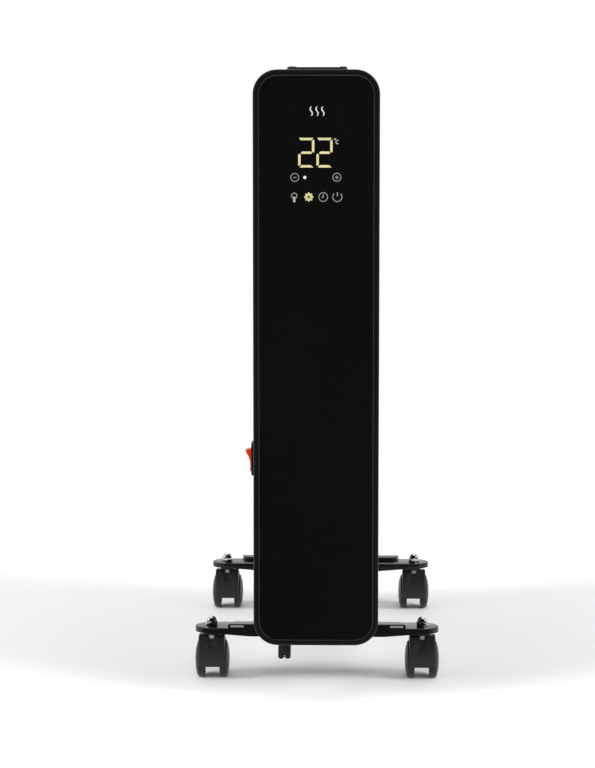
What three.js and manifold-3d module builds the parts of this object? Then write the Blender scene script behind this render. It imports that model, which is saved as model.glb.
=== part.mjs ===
// An oil-filled column radiator on four twin-wheel casters, with a tall touch-control column at
// its front. Millimetres, +Z up, the control column faces -Y and +X is right as seen from the
// front. The origin is on the floor, under the middle of the whole heater.

import * as THREE from 'three';
import { mergeVertices } from 'three/addons/utils/BufferGeometryUtils.js';
import Module from 'manifold-3d';

// Clearances
const seatGap = 0.3; // between two pieces that rest on each other
const runGap = 0.3; // round a pin, all sides
const roundSides = 12; // flats round a header, a stem and what they fit in

// Radiator fins
const finCount = 11;
const finPitch = 40;
const finWidth = 120;
const finHeight = 536;
const finCorner = 30;
const finSheet = 1.6;
const flangeDepth = 30;
const flangeSheet = 1.5;
const flangeCorner = 7;
const channelCount = 3;
const channelWidth = 22;
const channelGap = 9;
const channelThickness = 12;
const channelEdge = 3.5;
const channelInset = 16;
const slotInset = 66;
const headerInset = 42;
const neckRadius = 20;
const endBossReach = 12;
const headerBore = 13;
const headerEndWall = 7;

// Heating element and plugs
const tubeRadius = 3.5;
const tubeSpacing = 12;
const tubeTail = 12; // how far the tube ends stand inside the control column
const hexFlangeRadius = 24;
const hexFlangeThickness = 6;
const spigotLength = 6;
const plugHexRadius = 9;
const plugHeadThickness = 5;
const plugShankRadius = 6;
const plugShankLength = 7;

// Control column
const columnWidth = 127;
const columnBottom = 59.3;
const columnHeight = 583.5;
const columnCorner = 24.6;
const frontReach = 100; // column face, ahead of the front caster stems
const frameDepth = 11.7;
const frameRim = 5.2;
const frameEdge = 3;
const frameLedge = 4;
const glassThickness = 3;
const glassSet = 0.4; // how far the glass sits behind the frame's face
const housingDepth = 43;
const housingWall = 2.5;
const shieldStandoff = 3;
const shieldThickness = 1.5;
const shieldMargin = 3;
const bracketWidth = 9;
const bracketSheet = 1.6;
const bracketFoot = 14;
const bracketHeights = [150, 470]; // above the column's lower end
const terminalHole = 14;
const postRadius = 3;

// Boards and parts inside the column
const boardSheet = 1.6;
const displayBoard = { width: 116, height: 104, up: 496 };
const ledModule = { width: 62, height: 78, up: 485 };
const powerBoard = { width: 84, height: 130, up: 305, standoff: 10.5 };
const relay = { width: 15, height: 29, depth: 17, side: 18, up: 330 };
const terminalBlock = { width: 42, height: 14, depth: 16, side: 22, up: 82 };
const cutout = { radius: 9, depth: 7, tabWidth: 6, tabReach: 14, up: 430 };

// Tip-over switch
const tiltPlate = { width: 30, height: 46, sheet: 2, side: 30, up: 34 };
const tiltPinRadius = 1.6;
const tiltPinHead = 3.2;
const tiltPinHeadThickness = 1.5;
const tiltSwing = 25; // degrees each way
const pendulumThickness = 6;
const pendulumArm = 26;
const pendulumArmWidth = 4;
const pendulumEye = 4;
const pendulumWeight = 7;
const stopRadius = 1.1;
const stopDrop = 11;

// Mains rocker switch, on the column's left side
const switchUp = 188.4;
const switchBack = 33; // behind the column's face
const bezelHeight = 34;
const bezelWidth = 19;
const bezelProud = 2.6;
const switchBodyHeight = 30;
const switchBodyWidth = 16;
const switchBodyDepth = 19;
const switchPocketDepth = 12;
const rockerHalfHeight = 11.2;
const rockerWidth = 12;
const rockerProud = 8.9;
const rockerValley = 6.6;
const rockerPivotIn = 4.9; // pivot behind the bezel's face
const rockerTilt = 13; // degrees each side of level
const rockerPinRadius = 1.2;
const rockerPinLength = 1.1;

// Cord gland, under the column
const glandSide = -32.6;
const glandBack = 30;
const glandRadius = 6.4;
const glandDrop = 19.4;
const glandBore = 3.2;
const glandJawHalf = 5.4;
const glandNeck = 5.2;
const glandNutRadius = 9;
const glandNutHeight = 5;
const glandNotchWidth = 3;
const glandCorner = 2.6;
const glandNotchHeight = 1.6;
const glandEyeRadius = 1;
const glandEyeUp = 3.4;

// Carry handle, clipped on two fins behind the column
const handleWidth = 62;
const handleWaist = 46;
const handleThickness = 15;
const handleGap = 31; // fingers' room over the fins
const handleFins = [0, 3];
const legThickness = 14;
const legClip = 12;
const handleDish = 0.8;
const handleLip = 8;
const handleEdge = 2.5;

// Feet
const footLength = 257;
const footDepth = 34;
const footSheet = 2;
const footTop = 59;
const footRimMiddle = 50.3;
const footRimEnd = 53.5;
const footRimFlat = 70;
const platformHalf = 95;
const platformRise = 4.5;
const platformRamp = 5;
const platformDepth = 17;
const slotHalf = 7.2;
const slotSide = 84;
const slotLow = 0.8;
const slotHeight = 2.4;
const footStations = [0, finCount - 2]; // the gaps between fins that hold a foot

// Hook bolts that clamp the feet to the lower header
const hookRadius = 3;
const hookGap = 0.9;
const hookBelow = 17; // below the foot's top face
const hookHoleGap = 0.7;
const hookShortLeg = 8;
const hookSteps = 8;
const wingHubRadius = 6;
const wingHubHeight = 8;
const wingReach = 15;
const wingDrop = 5;
const wingSheet = 2.4;

// Casters
const casterSide = 111.4;
const trail = 16;
const wheelRadius = 20;
const wheelSides = 20;
const wheelInner = 8;
const treadWidth = 6;
const wheelDome = 4.2;
const axleRadius = 3;
const axleCap = 1.6; // wheel left outside the axle's end
const webHalf = 7.4;
const hoodHalf = 13.7;
const hoodSkin = 2.2;
const wheelWellGap = 1;
const hoodTop = 49;
const hoodFront = 8;
const hoodLip = 15;
const hoodBack = 4;
const hoodRearAngle = 15; // degrees over the axle where the fender ends
const webUnderAxle = 6;
const notchHalf = 2.9;
const notchDepth = 4;
const stemRadius = 4;
const stemDepth = 24;
const collarRadius = 8;
const shankRadius = 3.7;
const capHexRadius = 7;
const capHexHeight = 4.6;
const capDomeRadius = 5.4;
const capHeight = 9.6;
const capWall = 2.5;

// Worked out from the sizes above
const axleHeight = wheelRadius * Math.cos(Math.PI / wheelSides);
const finBottom = footTop + platformRise + seatGap;
const finTop = finBottom + finHeight;
const firstFin = -finPitch / 2;
const lowerHeader = finBottom + headerInset;
const upperHeader = finTop - headerInset;
const columnTop = columnBottom + columnHeight;
const columnMiddle = (columnBottom + columnTop) / 2;
const columnFace = -frontReach;
const frameBack = columnFace + frameDepth;
const housingFront = frameBack + seatGap;
const housingBack = housingFront + housingDepth;
const housingFloor = housingBack - housingWall; // inner face of the rear wall
const shieldFront = housingBack + shieldStandoff;
const shieldBack = shieldFront + shieldThickness;
const finFace = (index) => firstFin + index * finPitch;
const frontBossEnd = finFace(0) - endBossReach;
const hookReach = neckRadius + hookGap + hookRadius; // hook's centre line from the header's

const wasm = await Module();
wasm.setup();

const finishes = {
	enamel: { color: 0x101113, roughness: 0.22, metalness: 0.0 },
	housing: { color: 0x111214, roughness: 0.3, metalness: 0.0 },
	frame: { color: 0x151618, roughness: 0.18, metalness: 0.0 },
	glass: { color: 0x08090a, roughness: 0.05, metalness: 0.0 },
	display: { color: 0xf4e7a8, roughness: 0.4, metalness: 0.0 },
	board: { color: 0x1f5a34, roughness: 0.55, metalness: 0.0 },
	relay: { color: 0x2c62a8, roughness: 0.4, metalness: 0.0 },
	ceramic: { color: 0xe6e2d8, roughness: 0.5, metalness: 0.0 },
	steel: { color: 0xb9bbbd, roughness: 0.3, metalness: 1.0 },
	copper: { color: 0x9c6a45, roughness: 0.35, metalness: 1.0 },
	chrome: { color: 0xd8dadc, roughness: 0.1, metalness: 1.0 },
	rocker: { color: 0xd82c12, roughness: 0.25, metalness: 0.0 },
	handle: { color: 0x121315, roughness: 0.28, metalness: 0.0 },
	rubber: { color: 0x17181a, roughness: 0.6, metalness: 0.0 },
	caster: { color: 0x2c2d30, roughness: 0.45, metalness: 0.0 },
};

// ---- Solids ----

function toSolid(geometry) {
	const bare = geometry.clone();
	bare.deleteAttribute('normal');
	bare.deleteAttribute('uv');
	const merged = mergeVertices(bare, 1e-4);
	return new wasm.Manifold(new wasm.Mesh({
		numProp: 3,
		vertProperties: new Float32Array(merged.attributes.position.array),
		triVerts: new Uint32Array(merged.index.array),
	}));
}

function toGeometry(solid) {
	const mesh = solid.getMesh();
	const geometry = new THREE.BufferGeometry();
	geometry.setAttribute('position', new THREE.BufferAttribute(mesh.vertProperties, 3));
	geometry.setIndex(new THREE.BufferAttribute(mesh.triVerts, 1));
	geometry.computeVertexNormals();
	return geometry;
}

function combine(base, added, cut = []) {
	let solid = toSolid(base);
	for (const geometry of added) solid = solid.add(toSolid(geometry));
	for (const geometry of cut) solid = solid.subtract(toSolid(geometry));
	return toGeometry(solid);
}

function piece(name, finish, geometry) {
	const mesh = new THREE.Mesh(geometry, new THREE.MeshStandardMaterial(finishes[finish]));
	mesh.name = name;
	return mesh;
}

function block(x0, x1, y0, y1, z0, z1) {
	return new THREE.BoxGeometry(x1 - x0, y1 - y0, z1 - z0)
		.translate((x0 + x1) / 2, (y0 + y1) / 2, (z0 + z1) / 2);
}

function rodZ(radius, z0, z1, x = 0, y = 0, sides = 16) {
	return new THREE.CylinderGeometry(radius, radius, z1 - z0, sides)
		.rotateX(Math.PI / 2).translate(x, y, (z0 + z1) / 2);
}

function rodY(radius, y0, y1, x = 0, z = 0, sides = 16) {
	return new THREE.CylinderGeometry(radius, radius, y1 - y0, sides)
		.translate(x, (y0 + y1) / 2, z);
}

function rodX(radius, x0, x1, y = 0, z = 0, sides = 16) {
	return new THREE.CylinderGeometry(radius, radius, x1 - x0, sides)
		.rotateZ(Math.PI / 2).translate((x0 + x1) / 2, y, z);
}

function roundedRect(width, height, radius, path = new THREE.Shape()) {
	const x = width / 2 - radius;
	const y = height / 2 - radius;
	path.absarc(x, -y, radius, -Math.PI / 2, 0);
	path.absarc(x, y, radius, 0, Math.PI / 2);
	path.absarc(-x, y, radius, Math.PI / 2, Math.PI);
	path.absarc(-x, -y, radius, Math.PI, 1.5 * Math.PI);
	path.closePath();
	return path;
}

// An outline in X and Z, given a thickness from y0 to y1 with its two rims bevelled by edge.
function upright(shape, y0, y1, curveSegments = 4, edge = 0, bevelSegments = 1) {
	return new THREE.ExtrudeGeometry(shape, {
		depth: y1 - y0 - 2 * edge,
		curveSegments,
		bevelEnabled: edge > 0,
		bevelThickness: edge,
		bevelSize: edge,
		bevelOffset: -edge,
		bevelSegments,
	}).rotateX(Math.PI / 2).translate(0, y1 - edge, 0);
}

// An outline in Y and Z, given a thickness from x0 to x1.
function sideways(shape, x0, x1, curveSegments = 6) {
	return new THREE.ExtrudeGeometry(shape, { depth: x1 - x0, curveSegments, bevelEnabled: false })
		.rotateX(Math.PI / 2).rotateZ(Math.PI / 2).translate(x0, 0, 0);
}

// An outline in X and Y, given a thickness from z0 to z1 with its upper rim bevelled by edge.
function level(shape, z0, z1, curveSegments = 6, edge = 0) {
	const geometry = new THREE.ExtrudeGeometry(shape, {
		depth: z1 - z0 - 2 * edge,
		curveSegments,
		bevelEnabled: edge > 0,
		bevelThickness: edge,
		bevelSize: edge,
		bevelOffset: -edge,
		bevelSegments: 1,
	});
	return geometry.translate(0, 0, z0 + edge);
}

// A turned shape about Z from [radius, height] pairs that run upwards from the axis to the axis.
function turned(profile, sides) {
	const points = profile.map(([radius, height]) => new THREE.Vector2(radius, height));
	return new THREE.LatheGeometry(points, sides).rotateX(Math.PI / 2);
}

// ---- Radiator ----

function channelOutline() {
	const width = channelCount * channelWidth + (channelCount - 1) * channelGap;
	const outline = roundedRect(width, finHeight - 2 * channelInset, channelWidth / 2 + 6);
	for (let gap = 1; gap < channelCount; gap += 1) {
		const x = -width / 2 + gap * (channelWidth + channelGap) - channelGap / 2;
		const reach = finHeight / 2 - slotInset;
		const hole = new THREE.Path();
		hole.absarc(x, reach, channelGap / 2, 0, Math.PI);
		hole.absarc(x, -reach, channelGap / 2, Math.PI, 2 * Math.PI);
		hole.closePath();
		outline.holes.push(hole);
	}
	return outline;
}

function fin(index) {
	const first = index === 0;
	const last = index === finCount - 1;
	const middle = (finBottom + finTop) / 2;
	const half = finPitch / 2 - seatGap / 2;
	const front = first ? endBossReach : half;
	const rear = last ? endBossReach : half;
	const web = upright(roundedRect(finWidth - flangeSheet, finHeight, finCorner),
		-finSheet / 2, finSheet / 2, 2).translate(0, 0, middle);
	const channels = upright(channelOutline(), -channelThickness / 2, channelThickness / 2, 1,
		channelEdge).translate(0, 0, middle);
	const added = [
		channels,
		rodY(neckRadius, -front, rear, 0, lowerHeader, roundSides),
		rodY(neckRadius, -front, rear, 0, upperHeader, roundSides),
	];
	const flange = roundedRect(flangeDepth, finHeight - 2 * finCorner, flangeCorner);
	for (const x of [-finWidth / 2, finWidth / 2 - flangeSheet]) {
		added.push(sideways(flange, x, x + flangeSheet, 1).translate(0, 0, middle));
	}
	const boreEnd = last ? rear - headerEndWall : rear + 1;
	const cut = [rodY(headerBore, -front - 1, boreEnd, 0, lowerHeader, roundSides)];
	if (first) {
		const depth = plugShankLength + seatGap;
		cut.push(rodY(plugShankRadius + runGap, -front - 1, depth - front, 0, upperHeader,
			roundSides));
	}
	const label = String(index + 1).padStart(2, '0');
	const mesh = piece(`fin_${label}`, 'enamel', combine(web, added, cut));
	mesh.position.y = finFace(index);
	return mesh;
}

function heatingElement() {
	const x = tubeSpacing / 2;
	const start = housingFloor - tubeTail;
	const bend = finFace(finCount - 1) + endBossReach - headerEndWall - tubeRadius - x - 2;
	const arc = new THREE.CurvePath();
	const middle = new THREE.Vector3(0, bend, 0);
	const turn = Array.from({ length: 9 }, (_, step) => {
		const angle = (Math.PI * step) / 8;
		return middle.clone().add(new THREE.Vector3(x * Math.cos(angle), x * Math.sin(angle), 0));
	});
	for (let step = 1; step < turn.length; step += 1) {
		arc.add(new THREE.LineCurve3(turn[step - 1], turn[step]));
	}
	const section = new THREE.Shape().absarc(0, 0, tubeRadius, 0, 2 * Math.PI);
	const loop = new THREE.ExtrudeGeometry(section, {
		steps: 8, curveSegments: 5, bevelEnabled: false, extrudePath: arc,
	});
	const tubes = [-x, x].map((side) => rodY(tubeRadius, start, bend + 0.2, side, 0, 10));
	return piece('heating_element', 'copper', combine(loop, tubes).translate(0, 0, lowerHeader));
}

function elementFlange() {
	const face = frontBossEnd - seatGap;
	const hex = rodY(hexFlangeRadius, face - hexFlangeThickness, face, 0, 0, 6);
	const spigot = rodY(headerBore - runGap, face - 1, face + spigotLength, 0, 0, roundSides);
	const holes = [-1, 1].map((side) => rodY(tubeRadius + runGap,
		face - hexFlangeThickness - 1, face + spigotLength + 1, side * tubeSpacing / 2, 0, 10));
	return piece('element_flange', 'steel', combine(hex, [spigot], holes)
		.translate(0, 0, lowerHeader));
}

function oilFillerPlug() {
	const face = frontBossEnd - seatGap;
	const head = rodY(plugHexRadius, face - plugHeadThickness, face, 0, 0, 6);
	const shank = rodY(plugShankRadius, face - 1, face + plugShankLength, 0, 0, roundSides);
	return piece('oil_filler_plug', 'steel', combine(head, [shank]).translate(0, 0, upperHeader));
}

// ---- Control column ----

function columnOutline(margin) {
	return roundedRect(columnWidth - 2 * margin, columnHeight - 2 * margin, columnCorner - margin);
}

function controlFrame() {
	const ring = upright(columnOutline(0), columnFace, frameBack, 4, frameEdge, 2);
	const squareBack = upright(columnOutline(0), columnFace + frameEdge, frameBack, 4);
	const recessBack = columnFace + glassSet + glassThickness + seatGap;
	const recess = upright(columnOutline(frameRim), columnFace - 1, recessBack, 4);
	const opening = upright(columnOutline(frameRim + frameLedge), columnFace - 2, frameBack + 1, 3);
	return piece('control_frame', 'frame', combine(ring, [squareBack], [recess, opening])
		.translate(0, 0, columnMiddle));
}

function glassPanel() {
	const front = columnFace + glassSet;
	return piece('glass_panel', 'glass', upright(columnOutline(frameRim + seatGap), front,
		front + glassThickness, 4).translate(0, 0, columnMiddle));
}

function controlHousing() {
	const shell = upright(columnOutline(0), housingFront, housingBack, 4)
		.translate(0, 0, columnMiddle);
	const inside = upright(columnOutline(housingWall), housingFront - 1, housingFloor, 4)
		.translate(0, 0, columnMiddle);
	const solid = toSolid(shell).subtract(toSolid(inside));
	const added = [];
	for (const side of [-1, 1]) {
		for (const up of [-1, 1]) {
			const x = side * (powerBoard.width / 2 - 6);
			const z = columnBottom + powerBoard.up + up * (powerBoard.height / 2 - 6);
			added.push(rodY(postRadius, housingFloor - powerBoard.standoff + seatGap,
				housingFloor + 1, x, z, 8));
			const rear = up * (columnHeight / 2 - columnCorner);
			added.push(rodY(postRadius + 1, housingBack - 1, shieldFront - seatGap,
				side * (columnWidth / 2 - 10), columnMiddle + rear, 8));
		}
	}
	const switchZ = columnBottom + switchUp;
	const switchY = columnFace + switchBack;
	const cut = [
		rodY(terminalHole, housingFloor - 1, housingBack + 1, 0, lowerHeader, 16),
		block(-columnWidth / 2 - 1, -columnWidth / 2 + housingWall + 1,
			switchY - switchBodyWidth / 2 - seatGap, switchY + switchBodyWidth / 2 + seatGap,
			switchZ - switchBodyHeight / 2 - seatGap, switchZ + switchBodyHeight / 2 + seatGap),
		rodZ(glandNeck + runGap, columnBottom - 1, columnBottom + housingWall + 1,
			glandSide, columnFace + glandBack, roundSides),
	];
	let result = solid;
	for (const geometry of added) result = result.add(toSolid(geometry));
	for (const geometry of cut) result = result.subtract(toSolid(geometry));
	return piece('control_housing', 'housing', toGeometry(result));
}

function heatShield() {
	const plate = upright(columnOutline(shieldMargin), shieldFront, shieldBack, 4)
		.translate(0, 0, columnMiddle);
	const reach = finFace(0) - finSheet / 2 - seatGap;
	const inner = finWidth / 2 - flangeSheet - 2;
	const added = [];
	for (const up of bracketHeights) {
		const z = columnBottom + up;
		for (const side of [-1, 1]) {
			const [x0, x1] = [side * inner, side * (inner - bracketWidth)].sort((a, b) => a - b);
			added.push(block(x0, x1, shieldBack - 0.5, reach, z, z + bracketSheet));
			added.push(block(x0, x1, reach - bracketSheet, reach, z - bracketFoot,
				z + bracketSheet));
		}
	}
	const cut = [rodY(terminalHole, shieldFront - 1, shieldBack + 1, 0, lowerHeader, 16)];
	return piece('heat_shield', 'enamel', combine(plate, added, cut));
}

function displayBoardPiece() {
	const z = columnBottom + displayBoard.up;
	const y = frameBack + seatGap;
	return piece('display_board', 'board', block(-displayBoard.width / 2, displayBoard.width / 2,
		y, y + boardSheet, z - displayBoard.height / 2, z + displayBoard.height / 2));
}

function ledDisplay() {
	const z = columnBottom + ledModule.up;
	const front = columnFace + glassSet + glassThickness + seatGap;
	return piece('led_display', 'display', block(-ledModule.width / 2, ledModule.width / 2,
		front, frameBack, z - ledModule.height / 2, z + ledModule.height / 2));
}

function powerBoardPiece() {
	const z = columnBottom + powerBoard.up;
	const y = housingFloor - powerBoard.standoff;
	return piece('power_board', 'board', block(-powerBoard.width / 2, powerBoard.width / 2,
		y - boardSheet, y, z - powerBoard.height / 2, z + powerBoard.height / 2));
}

function relayPiece() {
	const y = housingFloor - powerBoard.standoff - boardSheet - seatGap;
	const z = columnBottom + relay.up;
	return piece('relay', 'relay', block(relay.side - relay.width / 2,
		relay.side + relay.width / 2, y - relay.depth, y,
		z - relay.height / 2, z + relay.height / 2));
}

function terminalBlockPiece() {
	const y = housingFloor - seatGap;
	const z = columnBottom + terminalBlock.up;
	const { side, width, height, depth } = terminalBlock;
	const body = block(side - width / 2, side + width / 2, y - depth, y,
		z - height / 2, z + height / 2);
	const pitch = width / 3;
	const holes = [-1, 0, 1].map((step) => rodZ(pitch / 2 - 2.5, z - height, z + height,
		side + step * pitch, y - depth / 2, 10));
	return piece('terminal_block', 'ceramic', combine(body, [], holes));
}

function thermalCutout() {
	const y = housingFloor - seatGap;
	const z = columnBottom + cutout.up;
	const can = rodY(cutout.radius, y - cutout.depth, y, 0, z, 16);
	const bar = block(-cutout.tabReach, cutout.tabReach, y - 1.5, y,
		z - cutout.tabWidth / 2, z + cutout.tabWidth / 2);
	return piece('thermal_cutout', 'steel', combine(can, [bar]));
}

function cordGland() {
	const wallTop = columnBottom + housingWall;
	const low = columnBottom - glandDrop;
	const shoulder = columnBottom - seatGap;
	const body = turned([
		[0, low + glandRadius], [glandRadius, low + glandRadius], [glandRadius, shoulder],
		[glandNeck, shoulder], [glandNeck, wallTop + seatGap],
		[glandNutRadius, wallTop + seatGap],
		[glandNutRadius, wallTop + seatGap + glandNutHeight],
		[0, wallTop + seatGap + glandNutHeight],
	], roundSides);
	const lobes = new THREE.Shape();
	const flat = glandRadius - glandCorner;
	lobes.absarc(-flat, -flat, glandCorner, Math.PI, 1.5 * Math.PI);
	lobes.absarc(flat, -flat, glandCorner, 1.5 * Math.PI, 2 * Math.PI);
	lobes.lineTo(glandRadius, glandRadius);
	lobes.lineTo(-glandRadius, glandRadius);
	lobes.closePath();
	const jaw = upright(lobes, -glandJawHalf, glandJawHalf, 5)
		.translate(0, 0, low + glandRadius);
	const cut = [
		rodZ(glandBore, low - 1, wallTop + seatGap + glandNutHeight + 1, 0, 0, roundSides),
		block(-glandNotchWidth / 2, glandNotchWidth / 2, -glandRadius, glandRadius,
			low - 1, low + glandNotchHeight),
		rodY(glandEyeRadius, -glandRadius, glandRadius, 0, low + glandEyeUp, 6),
	];
	return piece('cord_gland', 'rubber', combine(body, [jaw], cut)
		.translate(glandSide, columnFace + glandBack, 0));
}

// ---- Mains switch ----

const switchSpot = new THREE.Vector3(-columnWidth / 2 - seatGap, columnFace + switchBack,
	columnBottom + switchUp);

function rockerBezel() {
	const plate = sideways(roundedRect(bezelWidth, bezelHeight, 2.5), -bezelProud, 0, 3);
	const bodyShape = roundedRect(switchBodyWidth, switchBodyHeight, 1);
	const body = sideways(bodyShape, -1, switchBodyDepth, 1);
	const pocketHalf = rockerHalfHeight + 1.8;
	const cut = [
		block(-bezelProud - 1, switchPocketDepth, -rockerWidth / 2 - runGap,
			rockerWidth / 2 + runGap, -pocketHalf, pocketHalf),
		rodY(rockerPinRadius + runGap, -rockerWidth / 2 - rockerPinLength - runGap,
			rockerWidth / 2 + rockerPinLength + runGap, rockerPivotIn - bezelProud, 0, 10),
	];
	return piece('rocker_bezel', 'housing', combine(plate, [body], cut)
		.translate(switchSpot.x, switchSpot.y, switchSpot.z));
}

function rocker() {
	const outline = new THREE.Shape();
	const shoulder = rockerHalfHeight + 0.3;
	outline.moveTo(-rockerValley, 0);
	outline.lineTo(-rockerProud, -rockerHalfHeight);
	outline.lineTo(-rockerPivotIn, -shoulder);
	outline.lineTo(0, -shoulder);
	outline.lineTo(4, -rockerHalfHeight / 2);
	outline.lineTo(4, rockerHalfHeight / 2);
	outline.lineTo(0, shoulder);
	outline.lineTo(-rockerPivotIn, shoulder);
	outline.lineTo(-rockerProud, rockerHalfHeight);
	outline.closePath();
	const body = upright(outline, -rockerWidth / 2, rockerWidth / 2, 1);
	const pins = rodY(rockerPinRadius, -rockerWidth / 2 - rockerPinLength,
		rockerWidth / 2 + rockerPinLength, 0, 0, 10);
	const mesh = piece('rocker', 'rocker', combine(body, [pins]));
	mesh.position.copy(switchSpot);
	mesh.position.x += rockerPivotIn - bezelProud;
	mesh.rotation.y = -THREE.MathUtils.degToRad(rockerTilt);
	return mesh;
}

// ---- Tip-over switch ----

const tiltPivot = new THREE.Vector3(tiltPlate.side, housingFloor - seatGap - tiltPlate.sheet,
	columnBottom + tiltPlate.up + tiltPlate.height / 2 - 8);

function tiltSwitchBody() {
	const middle = columnBottom + tiltPlate.up - tiltPivot.z;
	const plate = block(-tiltPlate.width / 2, tiltPlate.width / 2, 0, tiltPlate.sheet,
		middle - tiltPlate.height / 2, middle + tiltPlate.height / 2);
	const pinLength = pendulumThickness + 2 * seatGap;
	const added = [
		rodY(tiltPinRadius, -pinLength - 0.5, 1, 0, 0, 10),
		rodY(tiltPinHead, -pinLength - tiltPinHeadThickness, -pinLength, 0, 0, 10),
	];
	const swing = THREE.MathUtils.degToRad(tiltSwing);
	const stopSide = stopDrop * Math.tan(swing) + pendulumArmWidth / 2 / Math.cos(swing)
		+ stopRadius / Math.cos(swing) + seatGap;
	for (const side of [-1, 1]) {
		added.push(rodY(stopRadius, -pinLength, 1, side * stopSide, -stopDrop, 8));
	}
	const mesh = piece('tilt_switch_body', 'steel', combine(plate, added));
	mesh.position.copy(tiltPivot);
	return mesh;
}

function tiltPendulum() {
	const back = -seatGap;
	const front = back - pendulumThickness;
	const arm = block(-pendulumArmWidth / 2, pendulumArmWidth / 2, front + 1.5, back - 1.5,
		-pendulumArm, 0);
	const added = [
		rodY(pendulumEye, front, back, 0, 0, roundSides),
		rodY(pendulumWeight, front, back, 0, -pendulumArm, 16),
	];
	const cut = [rodY(tiltPinRadius + runGap, front - 1, back + 1, 0, 0, 10)];
	const mesh = piece('tilt_pendulum', 'steel', combine(arm, added, cut));
	mesh.position.copy(tiltPivot);
	return mesh;
}

// ---- Handle ----

function handle() {
	const under = finTop + handleGap;
	const top = under + handleThickness;
	const front = finFace(handleFins[0]) - legThickness / 2;
	const rear = finFace(handleFins[1]) + legThickness / 2;
	const middle = (front + rear) / 2;
	const half = (rear - front) / 2;
	const outline = new THREE.Shape();
	const wide = handleWidth / 2;
	const waist = handleWaist / 2;
	outline.moveTo(-wide, -half);
	outline.lineTo(wide, -half);
	outline.lineTo(wide, -half + legThickness);
	outline.quadraticCurveTo(waist, -half + legThickness, waist, -half + 3 * legThickness);
	outline.lineTo(waist, half - 3 * legThickness);
	outline.quadraticCurveTo(waist, half - legThickness, wide, half - legThickness);
	outline.lineTo(wide, half);
	outline.lineTo(-wide, half);
	outline.lineTo(-wide, half - legThickness);
	outline.quadraticCurveTo(-waist, half - legThickness, -waist, half - 3 * legThickness);
	outline.lineTo(-waist, -half + 3 * legThickness);
	outline.quadraticCurveTo(-waist, -half + legThickness, -wide, -half + legThickness);
	outline.closePath();
	const grip = level(outline, under, top, 4, handleEdge).translate(0, middle, 0);
	const added = [];
	const cut = [
		block(-wide + handleLip, wide - handleLip, front - 1, rear + 1, top - handleDish, top + 1),
	];
	for (const index of handleFins) {
		const y = finFace(index);
		const legWidth = handleWidth / 2 - handleEdge;
		added.push(block(-legWidth, legWidth, y - legThickness / 2 + handleEdge,
			y + legThickness / 2 - handleEdge, finTop - legClip, top - handleThickness / 2));
		cut.push(block(-wide - 1, wide + 1, y - finSheet / 2 - seatGap,
			y + finSheet / 2 + seatGap, finTop - legClip - 1, finTop + seatGap));
	}
	return piece('handle', 'handle', combine(grip, added, cut));
}

// ---- Feet ----

function stadium(length, depth) {
	const reach = (length - depth) / 2;
	const outline = new THREE.Shape();
	outline.absarc(reach, 0, depth / 2, -Math.PI / 2, Math.PI / 2);
	outline.absarc(-reach, 0, depth / 2, Math.PI / 2, 1.5 * Math.PI);
	outline.closePath();
	return outline;
}

function foot(name) {
	const inside = footTop - footSheet;
	const tray = level(stadium(footLength, footDepth), footRimMiddle - 3, footTop, 5, 1);
	const platform = new THREE.Shape();
	platform.moveTo(-platformHalf - platformRamp, -platformRise - footSheet);
	platform.lineTo(platformHalf + platformRamp, -platformRise - footSheet);
	platform.lineTo(platformHalf + platformRamp, -platformRise);
	platform.lineTo(platformHalf, 0);
	platform.lineTo(-platformHalf, 0);
	platform.lineTo(-platformHalf - platformRamp, -platformRise);
	platform.closePath();
	const front = -footDepth / 2;
	const step = front + platformDepth;
	const raised = upright(platform, front, step, 1).translate(0, 0, footTop + platformRise);
	const hollow = level(stadium(footLength - 2 * footSheet, footDepth - 2 * footSheet),
		footRimMiddle - 4, inside, 5);
	const under = block(-platformHalf, platformHalf, front + footSheet, step - footSheet,
		inside - 1, inside + platformRise);
	const cut = [hollow, under, block(-footLength, footLength, -footDepth, footDepth,
		footRimMiddle - 6, footRimMiddle)];
	for (const side of [-1, 1]) {
		const slope = new THREE.Shape();
		slope.moveTo(side * footRimFlat, footRimMiddle - 8);
		slope.lineTo(side * footRimFlat, footRimMiddle);
		slope.lineTo(side * (footLength / 2 - footDepth / 2), footRimEnd);
		slope.lineTo(side * footLength, footRimEnd);
		slope.lineTo(side * footLength, footRimMiddle - 8);
		slope.closePath();
		cut.push(upright(slope, -footDepth, footDepth, 1));
		cut.push(block(side * slotSide - slotHalf, side * slotSide + slotHalf, -footDepth,
			step + 1, footTop + slotLow, footTop + slotLow + slotHeight));
		cut.push(rodZ(shankRadius + runGap, inside - 2, footTop + 1, side * casterSide, 0,
			roundSides));
	}
	cut.push(rodZ(hookRadius + hookHoleGap, inside - 2, footTop + platformRise + 1,
		hookReach, 0, roundSides));
	return piece(name, 'enamel', combine(tray, [raised], cut));
}

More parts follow.
